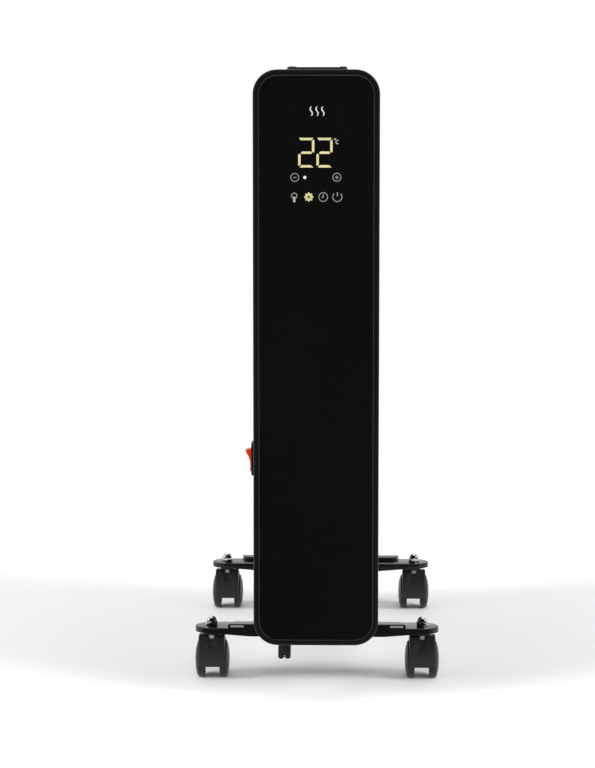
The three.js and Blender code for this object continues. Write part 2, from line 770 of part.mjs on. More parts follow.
function hookBolt(name) {
	const bend = hookReach;
	const reach = lowerHeader - (footTop - hookBelow);
	const points = [new THREE.Vector3(bend, 0, -reach)];
	for (let step = 0; step <= hookSteps; step += 1) {
		const angle = (Math.PI * step) / hookSteps;
		points.push(new THREE.Vector3(bend * Math.cos(angle), 0, bend * Math.sin(angle)));
	}
	points.push(new THREE.Vector3(-bend, 0, -hookShortLeg));
	const path = new THREE.CurvePath();
	for (let step = 1; step < points.length; step += 1) {
		path.add(new THREE.LineCurve3(points[step - 1], points[step]));
	}
	const arch = new THREE.CurvePath();
	arch.curves = path.curves.slice(1, -1);
	const section = new THREE.Shape().absarc(0, 0, hookRadius, 0, 2 * Math.PI);
	const bow = new THREE.ExtrudeGeometry(section, {
		steps: hookSteps, curveSegments: 4, bevelEnabled: false, extrudePath: arch,
	});
	const legs = [
		rodZ(hookRadius, -reach, 0.2, bend, 0, 8),
		rodZ(hookRadius, -hookShortLeg, 0.2, -bend, 0, 8),
	];
	return piece(name, 'steel', combine(bow, legs).translate(0, 0, lowerHeader));
}

function wingNut(name) {
	const top = footTop - footSheet - seatGap;
	const low = top - wingHubHeight;
	const hub = rodZ(wingHubRadius, low, top, 0, 0, roundSides);
	const wings = new THREE.Shape();
	wings.moveTo(-wingReach, low - wingDrop);
	wings.lineTo(-wingReach + 5, low - wingDrop);
	wings.lineTo(-wingHubRadius + 1, low + 1);
	wings.lineTo(wingHubRadius - 1, low + 1);
	wings.lineTo(wingReach - 5, low - wingDrop);
	wings.lineTo(wingReach, low - wingDrop);
	wings.lineTo(wingReach, low - wingDrop + 4);
	wings.lineTo(wingHubRadius - 1, top - 1.5);
	wings.lineTo(-wingHubRadius + 1, top - 1.5);
	wings.lineTo(-wingReach, low - wingDrop + 4);
	wings.closePath();
	const bore = rodZ(hookRadius + runGap, low - 1, top + 1, 0, 0, 10);
	return piece(name, 'steel', combine(hub, [upright(wings, -wingSheet / 2, wingSheet / 2, 1)],
		[bore]));
}

// ---- Casters ----

function casterStem(name) {
	const plateUnder = footTop - footSheet;
	const nutRoom = footTop + seatGap + capHeight - capWall - seatGap;
	return piece(name, 'steel', turned([
		[0, stemDepth + seatGap], [stemRadius, stemDepth + seatGap],
		[stemRadius, hoodTop + seatGap], [collarRadius, hoodTop + seatGap],
		[collarRadius, plateUnder - seatGap], [shankRadius, plateUnder - seatGap],
		[shankRadius, nutRoom], [0, nutRoom],
	], roundSides));
}

function capNut(name) {
	const low = footTop + seatGap;
	const hex = rodZ(capHexRadius, low, low + capHexHeight, 0, 0, 6);
	const rise = capHeight - capHexHeight;
	const profile = [[0, low], [capDomeRadius, low], [capDomeRadius, low + capHexHeight]];
	for (let step = 1; step <= 4; step += 1) {
		const angle = (Math.PI * step) / 8;
		profile.push([capDomeRadius * Math.cos(angle),
			low + capHexHeight + rise * Math.sin(angle)]);
	}
	profile[profile.length - 1][0] = 0;
	const bore = rodZ(shankRadius + runGap, low - 1, low + capHeight - capWall, 0, 0, roundSides);
	return piece(name, 'chrome', combine(hex, [turned(profile, roundSides)], [bore]));
}

// The hood's side outline, in Y and Z, with the stem's axis at Y 0 and the axle behind it.
function hoodOutline() {
	const outer = wheelRadius + wheelWellGap + hoodSkin;
	const rearAngle = THREE.MathUtils.degToRad(hoodRearAngle);
	const lipAngle = Math.asin((hoodLip - axleHeight) / outer);
	const outline = new THREE.Shape();
	outline.moveTo(trail - outer * Math.cos(lipAngle), hoodLip);
	outline.lineTo(trail - wheelRadius / 3, axleHeight - webUnderAxle);
	outline.lineTo(trail + wheelRadius / 3, axleHeight - webUnderAxle);
	outline.lineTo(trail + outer * Math.cos(rearAngle), axleHeight + outer * Math.sin(rearAngle));
	outline.absarc(trail, axleHeight, outer, rearAngle, 0.36 * Math.PI, false);
	outline.quadraticCurveTo(hoodBack + 5, hoodTop, hoodBack, hoodTop);
	outline.lineTo(-hoodFront + 2, hoodTop);
	outline.quadraticCurveTo(-hoodFront, hoodTop, -hoodFront, hoodTop - 2);
	outline.lineTo(trail - outer, axleHeight);
	outline.closePath();
	return outline;
}

function casterHood(name) {
	const body = sideways(hoodOutline(), -hoodHalf, hoodHalf, 4);
	const well = wheelRadius + wheelWellGap;
	const cut = [
		rodX(well, webHalf, hoodHalf + 1, trail, axleHeight, 24),
		rodX(well, -hoodHalf - 1, -webHalf, trail, axleHeight, 24),
		rodX(axleRadius + runGap, -webHalf - 1, webHalf + 1, trail, axleHeight, 10),
		rodZ(stemRadius + runGap, stemDepth, hoodTop + 1, 0, 0, roundSides),
		block(-notchHalf, notchHalf, -hoodFront - 1, 0, hoodTop - notchDepth, hoodTop + 1),
	];
	return piece(name, 'caster', combine(body, [], cut));
}

function axle(name) {
	const reach = wheelInner + treadWidth + wheelDome - axleCap - seatGap;
	const mesh = piece(name, 'steel', rodX(axleRadius, -reach, reach, 0, 0, 10));
	mesh.position.set(0, trail, axleHeight);
	return mesh;
}

function wheel(name, side) {
	const outer = wheelInner + treadWidth;
	const profile = [[0, wheelInner], [wheelRadius, wheelInner], [wheelRadius, outer]];
	for (let step = 1; step <= 3; step += 1) {
		const angle = (Math.PI * step) / 6;
		profile.push([wheelRadius * Math.cos(angle), outer + wheelDome * Math.sin(angle)]);
	}
	profile[profile.length - 1][0] = 0;
	const disc = turned(profile, wheelSides).rotateZ(Math.PI / wheelSides);
	const bore = rodZ(axleRadius + runGap, wheelInner - 1, outer + wheelDome - axleCap, 0, 0, 10);
	const mesh = piece(name, 'caster', combine(disc, [], [bore])
		.rotateY(side * Math.PI / 2));
	mesh.position.set(0, trail, axleHeight);
	return mesh;
}

function caster(corner) {
	const group = new THREE.Group();
	group.add(
		casterStem(`caster_stem_${corner}`),
		capNut(`cap_nut_${corner}`),
		casterHood(`caster_hood_${corner}`),
		axle(`axle_${corner}`),
		wheel(`wheel_${corner}_left`, -1),
		wheel(`wheel_${corner}_right`, 1),
	);
	return group;
}

// A foot with its hook bolt, wing nut and two casters; the rear foot is turned end for end.
function footAssembly(end, station) {
	const group = new THREE.Group();
	group.position.y = finFace(station) + finPitch / 2;
	const plate = foot(`foot_${end}`);
	const hook = hookBolt(`hook_bolt_${end}`);
	const nut = wingNut(`wing_nut_${end}`);
	nut.position.x = hookReach;
	const clamp = new THREE.Group();
	clamp.add(plate, hook, nut);
	if (end === 'rear') clamp.rotation.z = Math.PI;
	group.add(clamp);
	for (const side of ['left', 'right']) {
		const unit = caster(`${end}_${side}`);
		unit.position.x = side === 'left' ? -casterSide : casterSide;
		group.add(unit);
	}
	return group;
}

// ---- The heater ----

const heater = new THREE.Group();
for (let index = 0; index < finCount; index += 1) heater.add(fin(index));
heater.add(
	heatingElement(),
	elementFlange(),
	oilFillerPlug(),
	heatShield(),
	controlHousing(),
	controlFrame(),
	glassPanel(),
	displayBoardPiece(),
	ledDisplay(),
	powerBoardPiece(),
	relayPiece(),
	terminalBlockPiece(),
	thermalCutout(),
	tiltSwitchBody(),
	tiltPendulum(),
	cordGland(),
	rockerBezel(),
	rocker(),
	handle(),
	footAssembly('front', footStations[0]),
	footAssembly('rear', footStations[1]),
);

const spread = new THREE.Box3().setFromObject(heater, true);
heater.position.y = -(spread.min.y + spread.max.y) / 2;

const root = new THREE.Group();
root.add(heater);

export default root;
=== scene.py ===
import math

import bmesh
import bpy
from bpy.props import FloatProperty, FloatVectorProperty, IntProperty, PointerProperty
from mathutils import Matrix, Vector


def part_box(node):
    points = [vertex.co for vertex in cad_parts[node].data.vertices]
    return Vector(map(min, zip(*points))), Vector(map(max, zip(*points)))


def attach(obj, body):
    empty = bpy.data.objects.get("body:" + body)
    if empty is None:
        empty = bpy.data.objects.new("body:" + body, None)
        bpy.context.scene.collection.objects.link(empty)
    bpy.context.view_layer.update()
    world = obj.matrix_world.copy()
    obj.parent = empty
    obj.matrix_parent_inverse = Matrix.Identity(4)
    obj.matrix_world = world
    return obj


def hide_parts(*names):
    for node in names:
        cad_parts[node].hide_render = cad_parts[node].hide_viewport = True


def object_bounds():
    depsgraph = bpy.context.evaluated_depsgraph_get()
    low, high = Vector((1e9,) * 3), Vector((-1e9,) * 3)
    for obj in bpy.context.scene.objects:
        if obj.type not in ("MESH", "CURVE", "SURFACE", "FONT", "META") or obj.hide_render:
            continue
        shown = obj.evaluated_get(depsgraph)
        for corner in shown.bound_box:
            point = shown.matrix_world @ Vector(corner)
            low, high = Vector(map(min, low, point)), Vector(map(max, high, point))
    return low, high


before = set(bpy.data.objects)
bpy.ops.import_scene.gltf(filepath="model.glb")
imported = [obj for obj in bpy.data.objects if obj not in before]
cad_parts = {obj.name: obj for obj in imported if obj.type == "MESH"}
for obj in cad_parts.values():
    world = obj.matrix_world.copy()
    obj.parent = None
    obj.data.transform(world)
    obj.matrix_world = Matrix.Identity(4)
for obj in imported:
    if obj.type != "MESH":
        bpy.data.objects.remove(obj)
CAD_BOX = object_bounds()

bl_info = {
    "name": "Oil filled heater",
    "version": (1, 0, 0),
    "blender": (4, 5, 0),
    "location": "3D Viewport > Sidebar > Heater",
    "description": "Models the visible pieces of an oil filled radiator heater round its frame",
    "category": "Add Mesh",
}

# The frame's places, in metres. X is right, Y is away from the front, Z is up.
X, Y, Z = 0, 1, 2
NEAR = 2e-5  # how close to a place still counts as on it
SAME_SPOT = 1e-6  # vertices this close are merged
RIM_ANGLE = 0.6  # radians between two faces, past which their edge is a rim
CORNERS = [f"{end}_{side}" for end in ("front", "rear") for side in ("left", "right")]
FINS = [f"fin_{number:02d}" for number in range(1, 12)]


def corners(node):
    low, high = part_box(node)
    return Vector(low), Vector(high)


def middle(node):
    low, high = corners(node)
    return (low + high) / 2


COLUMN_LOW = Vector(map(min, zip(*(corners(n)[0] for n in ("control_frame", "control_housing")))))
COLUMN_HIGH = Vector(map(max, zip(*(corners(n)[1] for n in ("control_frame", "control_housing")))))
COLUMN_MIDDLE = (COLUMN_LOW + COLUMN_HIGH) / 2
FIN_PITCH = middle("fin_03").y - middle("fin_02").y
HALF_LINK = 0.01985


def fin_middle(node):
    """Where a fin's sheet stands along Y; a header's link reaches HALF_LINK either way of it."""
    return corners("fin_02")[0].y + FIN_PITCH * (int(node[-2:]) - 2) + HALF_LINK


# ---------------------------------------------------------------------------------------------
# Sizes and colours that a user would change


class HeaterSizes(bpy.types.PropertyGroup):
    column_corner: FloatProperty(
        name="Column corner", description="Radius of the column's four corners",
        default=0.0246, subtype="DISTANCE", unit="LENGTH")
    column_edge: FloatProperty(
        name="Column edge", description="Rounding of the bezel's outer front edge",
        default=0.003, subtype="DISTANCE", unit="LENGTH")
    # glass_seam is the width of the glass's bevelled edge, which is painted lighter as a highlight
    glass_seam: FloatProperty(
        name="Glass seam", description="Width of the ground edge round the glass",
        default=0.0006, subtype="DISTANCE", unit="LENGTH")
    digit_height: FloatProperty(
        name="Digit height", description="Height of the two temperature digits",
        default=0.0295, subtype="DISTANCE", unit="LENGTH")
    digit_width: FloatProperty(
        name="Digit width", description="Width of one temperature digit",
        default=0.0161, subtype="DISTANCE", unit="LENGTH")
    digit_bar: FloatProperty(
        name="Digit bar", description="Thickness of one lit bar of a digit",
        default=0.0024, subtype="DISTANCE", unit="LENGTH")
    channel_rise: FloatProperty(
        name="Channel rise", description="How far an oil channel stands out of a fin's sheet",
        default=0.0052, subtype="DISTANCE", unit="LENGTH")
    round_steps: IntProperty(
        name="Round steps", description="Steps round a wheel and its well",
        default=72, min=24, max=128)


class HeaterColours(bpy.types.PropertyGroup):
    enamel: FloatVectorProperty(
        name="Enamel", description="Gloss black enamel of the fins and feet",
        default=(0.0052, 0.0054, 0.006), size=3, min=0, max=1, subtype="COLOR")
    plastic: FloatVectorProperty(
        name="Column plastic", description="Black plastic of the column and the handle",
        default=(0.0065, 0.0068, 0.0072), size=3, min=0, max=1, subtype="COLOR")
    caster: FloatVectorProperty(
        name="Caster plastic", description="Dark grey plastic of the casters",
        default=(0.0105, 0.0108, 0.0122), size=3, min=0, max=1, subtype="COLOR")
    glow: FloatVectorProperty(
        name="Display glow", description="Warm light of the lit digits",
        default=(0.86, 0.78, 0.42), size=3, min=0, max=1, subtype="COLOR")
    switch: FloatVectorProperty(
        name="Switch", description="Red of the mains rocker",
        default=(0.62, 0.032, 0.003), size=3, min=0, max=1, subtype="COLOR")


def sizes():
    return bpy.context.scene.heater_sizes


def colours():
    return bpy.context.scene.heater_colours


# ---------------------------------------------------------------------------------------------
# Modelling by hand: selections and edit-mode steps


def deselect():
    if bpy.context.mode != "OBJECT":
        bpy.ops.object.mode_set(mode="OBJECT")
    bpy.ops.object.select_all(action="DESELECT")


def choose(piece):
    deselect()
    piece.select_set(True)
    bpy.context.view_layer.objects.active = piece
    return piece


def settle(piece):
    """The piece's place, turn and size go into its mesh."""
    choose(piece)
    bpy.ops.object.transform_apply(location=True, rotation=True, scale=True)
    return piece


def edit(piece, kind="VERT"):
    if bpy.context.mode != "EDIT_MESH" or bpy.context.object != piece:
        choose(piece)
        bpy.ops.object.mode_set(mode="EDIT")
    bpy.ops.mesh.select_mode(type=kind)


def pick(piece, kind, wanted):
    """Leaves only the faces, edges or vertices that pass wanted selected, in edit mode."""
    edit(piece, kind)
    bpy.ops.mesh.select_all(action="DESELECT")
    shape = bmesh.from_edit_mesh(piece.data)
    shape.normal_update()
    items = {"FACE": shape.faces, "EDGE": shape.edges, "VERT": shape.verts}[kind]
    chosen = [item for item in items if wanted(item)]
    if not chosen:
        raise RuntimeError(f"{piece.name}: nothing to select")
    for item in chosen:
        item.select_set(True)
    bmesh.update_edit_mesh(piece.data)


def leave():
    bpy.ops.object.mode_set(mode="OBJECT")


def everything():
    bpy.ops.mesh.select_all(action="SELECT")


def push(way):
    """Extrudes the selection along way."""
    bpy.ops.mesh.extrude_region_move(TRANSFORM_OT_translate={"value": way})


def point_outwards():
    everything()
    bpy.ops.mesh.normals_make_consistent(inside=False)


def along(axis):
    def wanted(edge):
        run = edge.verts[1].co - edge.verts[0].co
        return run.length > NEAR and abs(run[axis]) > 0.999 * run.length
    return wanted


def at(axis, place, near=NEAR):
    return lambda item: all(abs(vert.co[axis] - place) < near for vert in item.verts)


def rim(axis, place):
    """The edges where a flat end at place meets the sides."""
    flat = at(axis, place)
    return lambda edge: (flat(edge) and len(edge.link_faces) == 2
                         and edge.calc_face_angle(0) > RIM_ANGLE)


def plate_at(axis, place):
    """The flat end at place of a rounded block, not its small bevel faces."""
    flat = at(axis, place)
    return lambda face: flat(face) and len(face.verts) > 8


def bevel(piece, wanted, width, segments=3):
    pick(piece, "EDGE", wanted)
    bpy.ops.mesh.bevel(offset=width, segments=segments, affect="EDGES", clamp_overlap=True)


def bevel_rims(piece, axis, width, segments=3, ends=(True, True)):
    """Rounds the rims of the two flat ends of an outline that was pushed out along axis."""
    edit(piece, "EDGE")
    places = [vert.co[axis] for vert in bmesh.from_edit_mesh(piece.data).verts]
    for place, wanted in zip((min(places), max(places)), ends):
        if wanted:
            bevel(piece, rim(axis, place), width, segments)
    leave()


def cuboid(name, low, high):
    low, high = Vector(low), Vector(high)
    deselect()
    bpy.ops.mesh.primitive_cube_add(size=1, location=(low + high) / 2, scale=high - low)
    piece = bpy.context.object
    piece.name = name
    return settle(piece)


def slab(name, low, high, axis, radius, segments=12):
    """A block whose four edges along axis are rounded."""
    piece = cuboid(name, low, high)
    bevel(piece, along(axis), radius, segments)
    leave()
    return piece


def drum(name, start, end, radius, sides=48, end_radius=None):
    start, end = Vector(start), Vector(end)
    run = end - start
    deselect()
    bpy.ops.mesh.primitive_cone_add(
        vertices=sides, radius1=radius, radius2=radius if end_radius is None else end_radius,
        depth=run.length, end_fill_type="NGON", location=(start + end) / 2,
        rotation=run.to_track_quat("Z", "Y").to_euler())
    piece = bpy.context.object
    piece.name = name
    return settle(piece)


def chain(name, points):
    """An open run of edges, extruded point by point."""
    points = [Vector(point) for point in points]
    deselect()
    bpy.ops.mesh.primitive_plane_add(size=0.001, location=points[0])
    piece = bpy.context.object
    piece.name = name
    settle(piece)
    edit(piece)
    everything()
    bpy.ops.mesh.merge(type="CENTER")
    for before, point in zip(points, points[1:]):
        push(point - before)
    return piece


def outlined(name, points, way):
    """A closed outline, filled and pushed out along way into a solid."""
    piece = chain(name, points)
    everything()
    bpy.ops.mesh.edge_face_add()
    everything()
    push(Vector(way))
    point_outwards()
    leave()
    return piece


def turned(name, profile, centre, axis, steps, sweep=2 * math.pi, side=None):
    """A profile of (radius, height) pairs spun round axis through centre."""
    centre, axis = Vector(centre), Vector(axis)
    side = Vector(side) if side else axis.orthogonal().normalized()
    piece = chain(name, [centre + side * radius + axis * height for radius, height in profile])
    everything()
    bpy.ops.mesh.spin(steps=steps, angle=-sweep, center=centre, axis=axis)
    everything()
    bpy.ops.mesh.remove_doubles(threshold=SAME_SPOT)
    if sweep < 2 * math.pi:
        everything()
        bpy.ops.mesh.fill_holes(sides=0)
    point_outwards()
    leave()
    return piece


def combine(piece, tools, operation):
    """Joins the tools to the piece, or cuts them out of it, and removes them."""
    for tool in tools:
        choose(piece)
        bpy.ops.object.modifier_add(type="BOOLEAN")
        modifier = piece.modifiers[-1]
        modifier.operation = operation
        modifier.solver = "EXACT"
        modifier.object = tool
        bpy.ops.object.modifier_apply(modifier=modifier.name)
        choose(tool)
        bpy.ops.object.delete()
    return piece


def arc_points(centre, radius, start, end, steps):
    return [(centre[0] + radius * math.cos(start + (end - start) * step / steps),
             centre[1] + radius * math.sin(start + (end - start) * step / steps))
            for step in range(steps + 1)]


def weld(piece, *tools):
    return combine(piece, tools, "UNION")


def cut(piece, *tools):
    return combine(piece, tools, "DIFFERENCE")


def soften(piece, width, segments=3, angle=35):
    choose(piece)
    bpy.ops.object.modifier_add(type="BEVEL")
    modifier = piece.modifiers[-1]
    modifier.width = width
    modifier.segments = segments
    modifier.limit_method = "ANGLE"
    modifier.angle_limit = math.radians(angle)
    modifier.use_clamp_overlap = True
    modifier.harden_normals = False
    bpy.ops.object.modifier_apply(modifier=modifier.name)
    return piece


def join(piece, *others):
    choose(piece)
    for other in others:
        other.select_set(True)
    bpy.ops.object.join()
    return piece


def copy_of(piece, name, shift=(0, 0, 0), half_turn_about=None):
    """A copy with a mesh of its own, given a half turn about Z at a point and then shifted."""
    choose(piece)
    bpy.ops.object.duplicate()
    double = bpy.context.object
    double.name = name
    edit(double)
    everything()
    if half_turn_about is not None:
        bpy.ops.transform.resize(value=(-1, -1, 1), center_override=half_turn_about)
    bpy.ops.transform.translate(value=shift)
    leave()
    return double


def paint(piece, wanted, index):
    """Gives the wanted faces the piece's material of that index."""
    pick(piece, "FACE", wanted)
    piece.active_material_index = index
    bpy.ops.object.material_slot_assign()
    leave()


def finish_piece(piece, body, material, stands_for=(), angle=32):
    if not piece.data.materials:
        piece.data.materials.append(material)
    choose(piece)
    bpy.ops.object.shade_smooth_by_angle(angle=math.radians(angle))
    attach(piece, body)
    if stands_for:
        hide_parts(*stands_for)
    return piece


# ---------------------------------------------------------------------------------------------
# Surfaces


def new_group(name, inputs, outputs):
    group = bpy.data.node_groups.new(name, "ShaderNodeTree")
    for label, kind, value in inputs:
        socket = group.interface.new_socket(name=label, in_out="INPUT", socket_type=kind)
        if value is not None:
            socket.default_value = value
    for label, kind in outputs:
        group.interface.new_socket(name=label, in_out="OUTPUT", socket_type=kind)
    return group, group.nodes.new("NodeGroupInput"), group.nodes.new("NodeGroupOutput")


def noise(tree, vector, scale, detail=2.0, roughness=0.5):
    """A noise node; scale is a number or a socket."""
    node = tree.nodes.new("ShaderNodeTexNoise")
    node.inputs["Detail"].default_value = detail
    node.inputs["Roughness"].default_value = roughness
    tree.links.new(vector, node.inputs["Vector"])
    if isinstance(scale, (int, float)):
        node.inputs["Scale"].default_value = scale
    else:
        tree.links.new(scale, node.inputs["Scale"])
    return node.outputs["Fac"]


def remap(tree, value, from_low, from_high, to_low, to_high):
    node = tree.nodes.new("ShaderNodeMapRange")
    tree.links.new(value, node.inputs["Value"])
    for label, given in (("From Min", from_low), ("From Max", from_high),
                         ("To Min", to_low), ("To Max", to_high)):
        if isinstance(given, (int, float)):
            node.inputs[label].default_value = given
        else:
            tree.links.new(given, node.inputs[label])
    return node.outputs["Result"]


def blend(tree, factor, first, second):
    """A colour mix of two sockets."""
    node = tree.nodes.new("ShaderNodeMix")
    node.data_type = "RGBA"
    tree.links.new(factor, node.inputs["Factor"])
    tree.links.new(first, node.inputs["A"])
    tree.links.new(second, node.inputs["B"])
    return node.outputs["Result"]


def maths(tree, operation, first, second):
    node = tree.nodes.new("ShaderNodeMath")
    node.operation = operation
    for socket, given in zip(node.inputs, (first, second)):
        if isinstance(given, (int, float)):
            socket.default_value = given
        else:
            tree.links.new(given, socket)
    return node.outputs["Value"]


SURFACE_INPUTS = [
    ("Vector", "NodeSocketVector", None),
    ("Colour", "NodeSocketColor", (0.5, 0.5, 0.5, 1)),
    ("Second Colour", "NodeSocketColor", (0.6, 0.6, 0.6, 1)),
    ("Grain Scale", "NodeSocketFloat", 1000.0),
    ("Cloud Scale", "NodeSocketFloat", 20.0),
    ("Low Roughness", "NodeSocketFloat", 0.2),
    ("High Roughness", "NodeSocketFloat", 0.3),
]
SURFACE_OUTPUTS = [
    ("Colour", "NodeSocketColor"),
    ("Roughness", "NodeSocketFloat"),
    ("Height", "NodeSocketFloat"),
]


def moulded_group():
    """Fine even grain with slow changes of tone and gloss, for plastics and rubber."""
    group, given, made = new_group("moulded_surface", SURFACE_INPUTS, SURFACE_OUTPUTS)
    vector = given.outputs["Vector"]
    grain = noise(group, vector, given.outputs["Grain Scale"], 3.0, 0.6)
    cloud = noise(group, vector, given.outputs["Cloud Scale"], 2.0)
    tone = remap(group, cloud, 0.35, 0.65, 0.0, 1.0)
    speck = remap(group, grain, 0.3, 0.7, -0.35, 0.35)
    mixed = maths(group, "ADD", tone, speck)
    colour = blend(group, mixed, given.outputs["Colour"], given.outputs["Second Colour"])
    rough = remap(group, mixed, 0.0, 1.0, given.outputs["Low Roughness"],
                  given.outputs["High Roughness"])
    group.links.new(colour, made.inputs["Colour"])
    group.links.new(rough, made.inputs["Roughness"])
    group.links.new(grain, made.inputs["Height"])
    return group


def enamel_group():
    """Baked enamel: a soft orange peel under a few dust nibs and slow changes of gloss."""
    group, given, made = new_group("enamel_surface", SURFACE_INPUTS, SURFACE_OUTPUTS)
    vector = given.outputs["Vector"]
    peel = noise(group, vector, given.outputs["Grain Scale"], 1.0, 0.4)
    cloud = noise(group, vector, given.outputs["Cloud Scale"], 3.0)
    cells = group.nodes.new("ShaderNodeTexVoronoi")
    cells.inputs["Scale"].default_value = 220.0
    group.links.new(vector, cells.inputs["Vector"])
    nib = remap(group, cells.outputs["Distance"], 0.0, 0.09, 1.0, 0.0)
    tone = remap(group, cloud, 0.35, 0.65, 0.0, 1.0)
    colour = blend(group, tone, given.outputs["Colour"], given.outputs["Second Colour"])
    rough = remap(group, tone, 0.0, 1.0, given.outputs["Low Roughness"],
                  given.outputs["High Roughness"])
    height = maths(group, "ADD", peel, maths(group, "MULTIPLY", nib, 0.25))
    group.links.new(colour, made.inputs["Colour"])
    group.links.new(rough, made.inputs["Roughness"])
    group.links.new(height, made.inputs["Height"])
    return group


def metal_group():
    """Drawn or plated metal: fine lines along one axis over a faint spangle."""
    group, given, made = new_group("metal_surface", SURFACE_INPUTS, SURFACE_OUTPUTS)
    stretch = group.nodes.new("ShaderNodeMapping")
    stretch.inputs["Scale"].default_value = (1.0, 1.0, 0.06)
    group.links.new(given.outputs["Vector"], stretch.inputs["Vector"])
    lines = noise(group, stretch.outputs["Vector"], given.outputs["Grain Scale"], 4.0, 0.65)
    spangle = group.nodes.new("ShaderNodeTexVoronoi")
    group.links.new(given.outputs["Vector"], spangle.inputs["Vector"])
    group.links.new(given.outputs["Cloud Scale"], spangle.inputs["Scale"])
    level = group.nodes.new("ShaderNodeSeparateColor")
    group.links.new(spangle.outputs["Color"], level.inputs["Color"])
    tone = maths(group, "ADD", maths(group, "MULTIPLY", lines, 0.6),
                 maths(group, "MULTIPLY", level.outputs["Red"], 0.4))
    colour = blend(group, tone, given.outputs["Colour"], given.outputs["Second Colour"])
    rough = remap(group, tone, 0.2, 0.8, given.outputs["Low Roughness"],
                  given.outputs["High Roughness"])
    group.links.new(colour, made.inputs["Colour"])
    group.links.new(rough, made.inputs["Roughness"])
    group.links.new(lines, made.inputs["Height"])
    return group


def lamp_group():
    """Light from small lamps behind a diffuser: brighter over each lamp. The printed heat mark uses
    it as painted glow.
    """
    group, given, made = new_group("lamp_surface", [
        ("Vector", "NodeSocketVector", None),
        ("Colour", "NodeSocketColor", (1, 1, 1, 1)),
        ("Second Colour", "NodeSocketColor", (0.8, 0.8, 0.8, 1)),
        ("Grain Scale", "NodeSocketFloat", 180.0),
    ], [("Colour", "NodeSocketColor")])
    spots = noise(group, given.outputs["Vector"], given.outputs["Grain Scale"], 1.0, 0.3)
    tone = remap(group, spots, 0.3, 0.7, 0.0, 1.0)
    colour = blend(group, tone, given.outputs["Colour"], given.outputs["Second Colour"])
    group.links.new(colour, made.inputs["Colour"])
    return group


def board_group():
    """Circuit board: solder mask with darker tracks and bare pads."""
    group, given, made = new_group("board_surface", SURFACE_INPUTS, SURFACE_OUTPUTS)
    vector = given.outputs["Vector"]
    tracks = group.nodes.new("ShaderNodeTexBrick")
    turn = group.nodes.new("ShaderNodeMapping")
    turn.inputs["Rotation"].default_value = (math.pi / 2, 0, 0)
    group.links.new(vector, turn.inputs["Vector"])
    group.links.new(turn.outputs["Vector"], tracks.inputs["Vector"])
    tracks.inputs["Scale"].default_value = 90.0
    tracks.inputs["Mortar Size"].default_value = 0.035
    grain = noise(group, vector, given.outputs["Grain Scale"], 2.0)
    colour = blend(group, tracks.outputs["Fac"], given.outputs["Colour"],
                   given.outputs["Second Colour"])
    rough = remap(group, grain, 0.3, 0.7, given.outputs["Low Roughness"],
                  given.outputs["High Roughness"])
    group.links.new(colour, made.inputs["Colour"])
    group.links.new(rough, made.inputs["Roughness"])
    group.links.new(tracks.outputs["Fac"], made.inputs["Height"])
    return group


MATERIALS = {}
GROUPS = {}


def rgba(colour, factor=1.0):
    return tuple(min(1.0, channel * factor) for channel in colour[:3]) + (1.0,)


def grouped_material(name, group, **given):
    """A new material and its surface group, whose inputs are given by name."""
    material = bpy.data.materials.new(name)
    material.use_nodes = True
    tree = material.node_tree
    place = tree.nodes.new("ShaderNodeTexCoord")
    detail = tree.nodes.new("ShaderNodeGroup")
    detail.node_tree = GROUPS[group]
    tree.links.new(place.outputs["Object"], detail.inputs["Vector"])
    for label, value in given.items():
        detail.inputs[label.replace("_", " ").title()].default_value = value
    MATERIALS[name] = material
    return tree, tree.nodes["Principled BSDF"], detail


def surface(name, group, colour, second, grain, cloud, roughness, bump_mm, metallic=0.0,
            specular=0.5):
    """A material whose colour, roughness and bump come from one surface group."""
    tree, shader, detail = grouped_material(
        name, group, colour=colour, second_colour=second, grain_scale=grain, cloud_scale=cloud,
        low_roughness=roughness[0], high_roughness=roughness[1])
    bump = tree.nodes.new("ShaderNodeBump")
    bump.inputs["Strength"].default_value = 1.0
    bump.inputs["Distance"].default_value = bump_mm / 1000
    tree.links.new(detail.outputs["Height"], bump.inputs["Height"])
    tree.links.new(detail.outputs["Colour"], shader.inputs["Base Color"])
    tree.links.new(detail.outputs["Roughness"], shader.inputs["Roughness"])
    tree.links.new(bump.outputs["Normal"], shader.inputs["Normal"])
    shader.inputs["Metallic"].default_value = metallic
    shader.inputs["Specular IOR Level"].default_value = specular


def lamp(name, colour, second, grain=180.0):
    """A dark material that gives off the light of the lamp group."""
    tree, shader, detail = grouped_material(
        name, "lamp", colour=colour, second_colour=second, grain_scale=grain)
    tree.links.new(detail.outputs["Colour"], shader.inputs["Emission Color"])
    shader.inputs["Emission Strength"].default_value = 1.0
    shader.inputs["Base Color"].default_value = (0.01, 0.01, 0.01, 1)
    shader.inputs["Roughness"].default_value = 0.4
    shader.inputs["Specular IOR Level"].default_value = 0.1


def plain_material(name, grey, roughness):
    """A matt material without shine, for the stage."""
    material = bpy.data.materials.new(name)
    material.use_nodes = True
    shader = material.node_tree.nodes["Principled BSDF"]
    shader.inputs["Base Color"].default_value = (grey, grey, grey, 1)
    shader.inputs["Roughness"].default_value = roughness
    shader.inputs["Specular IOR Level"].default_value = 0.0
    return material


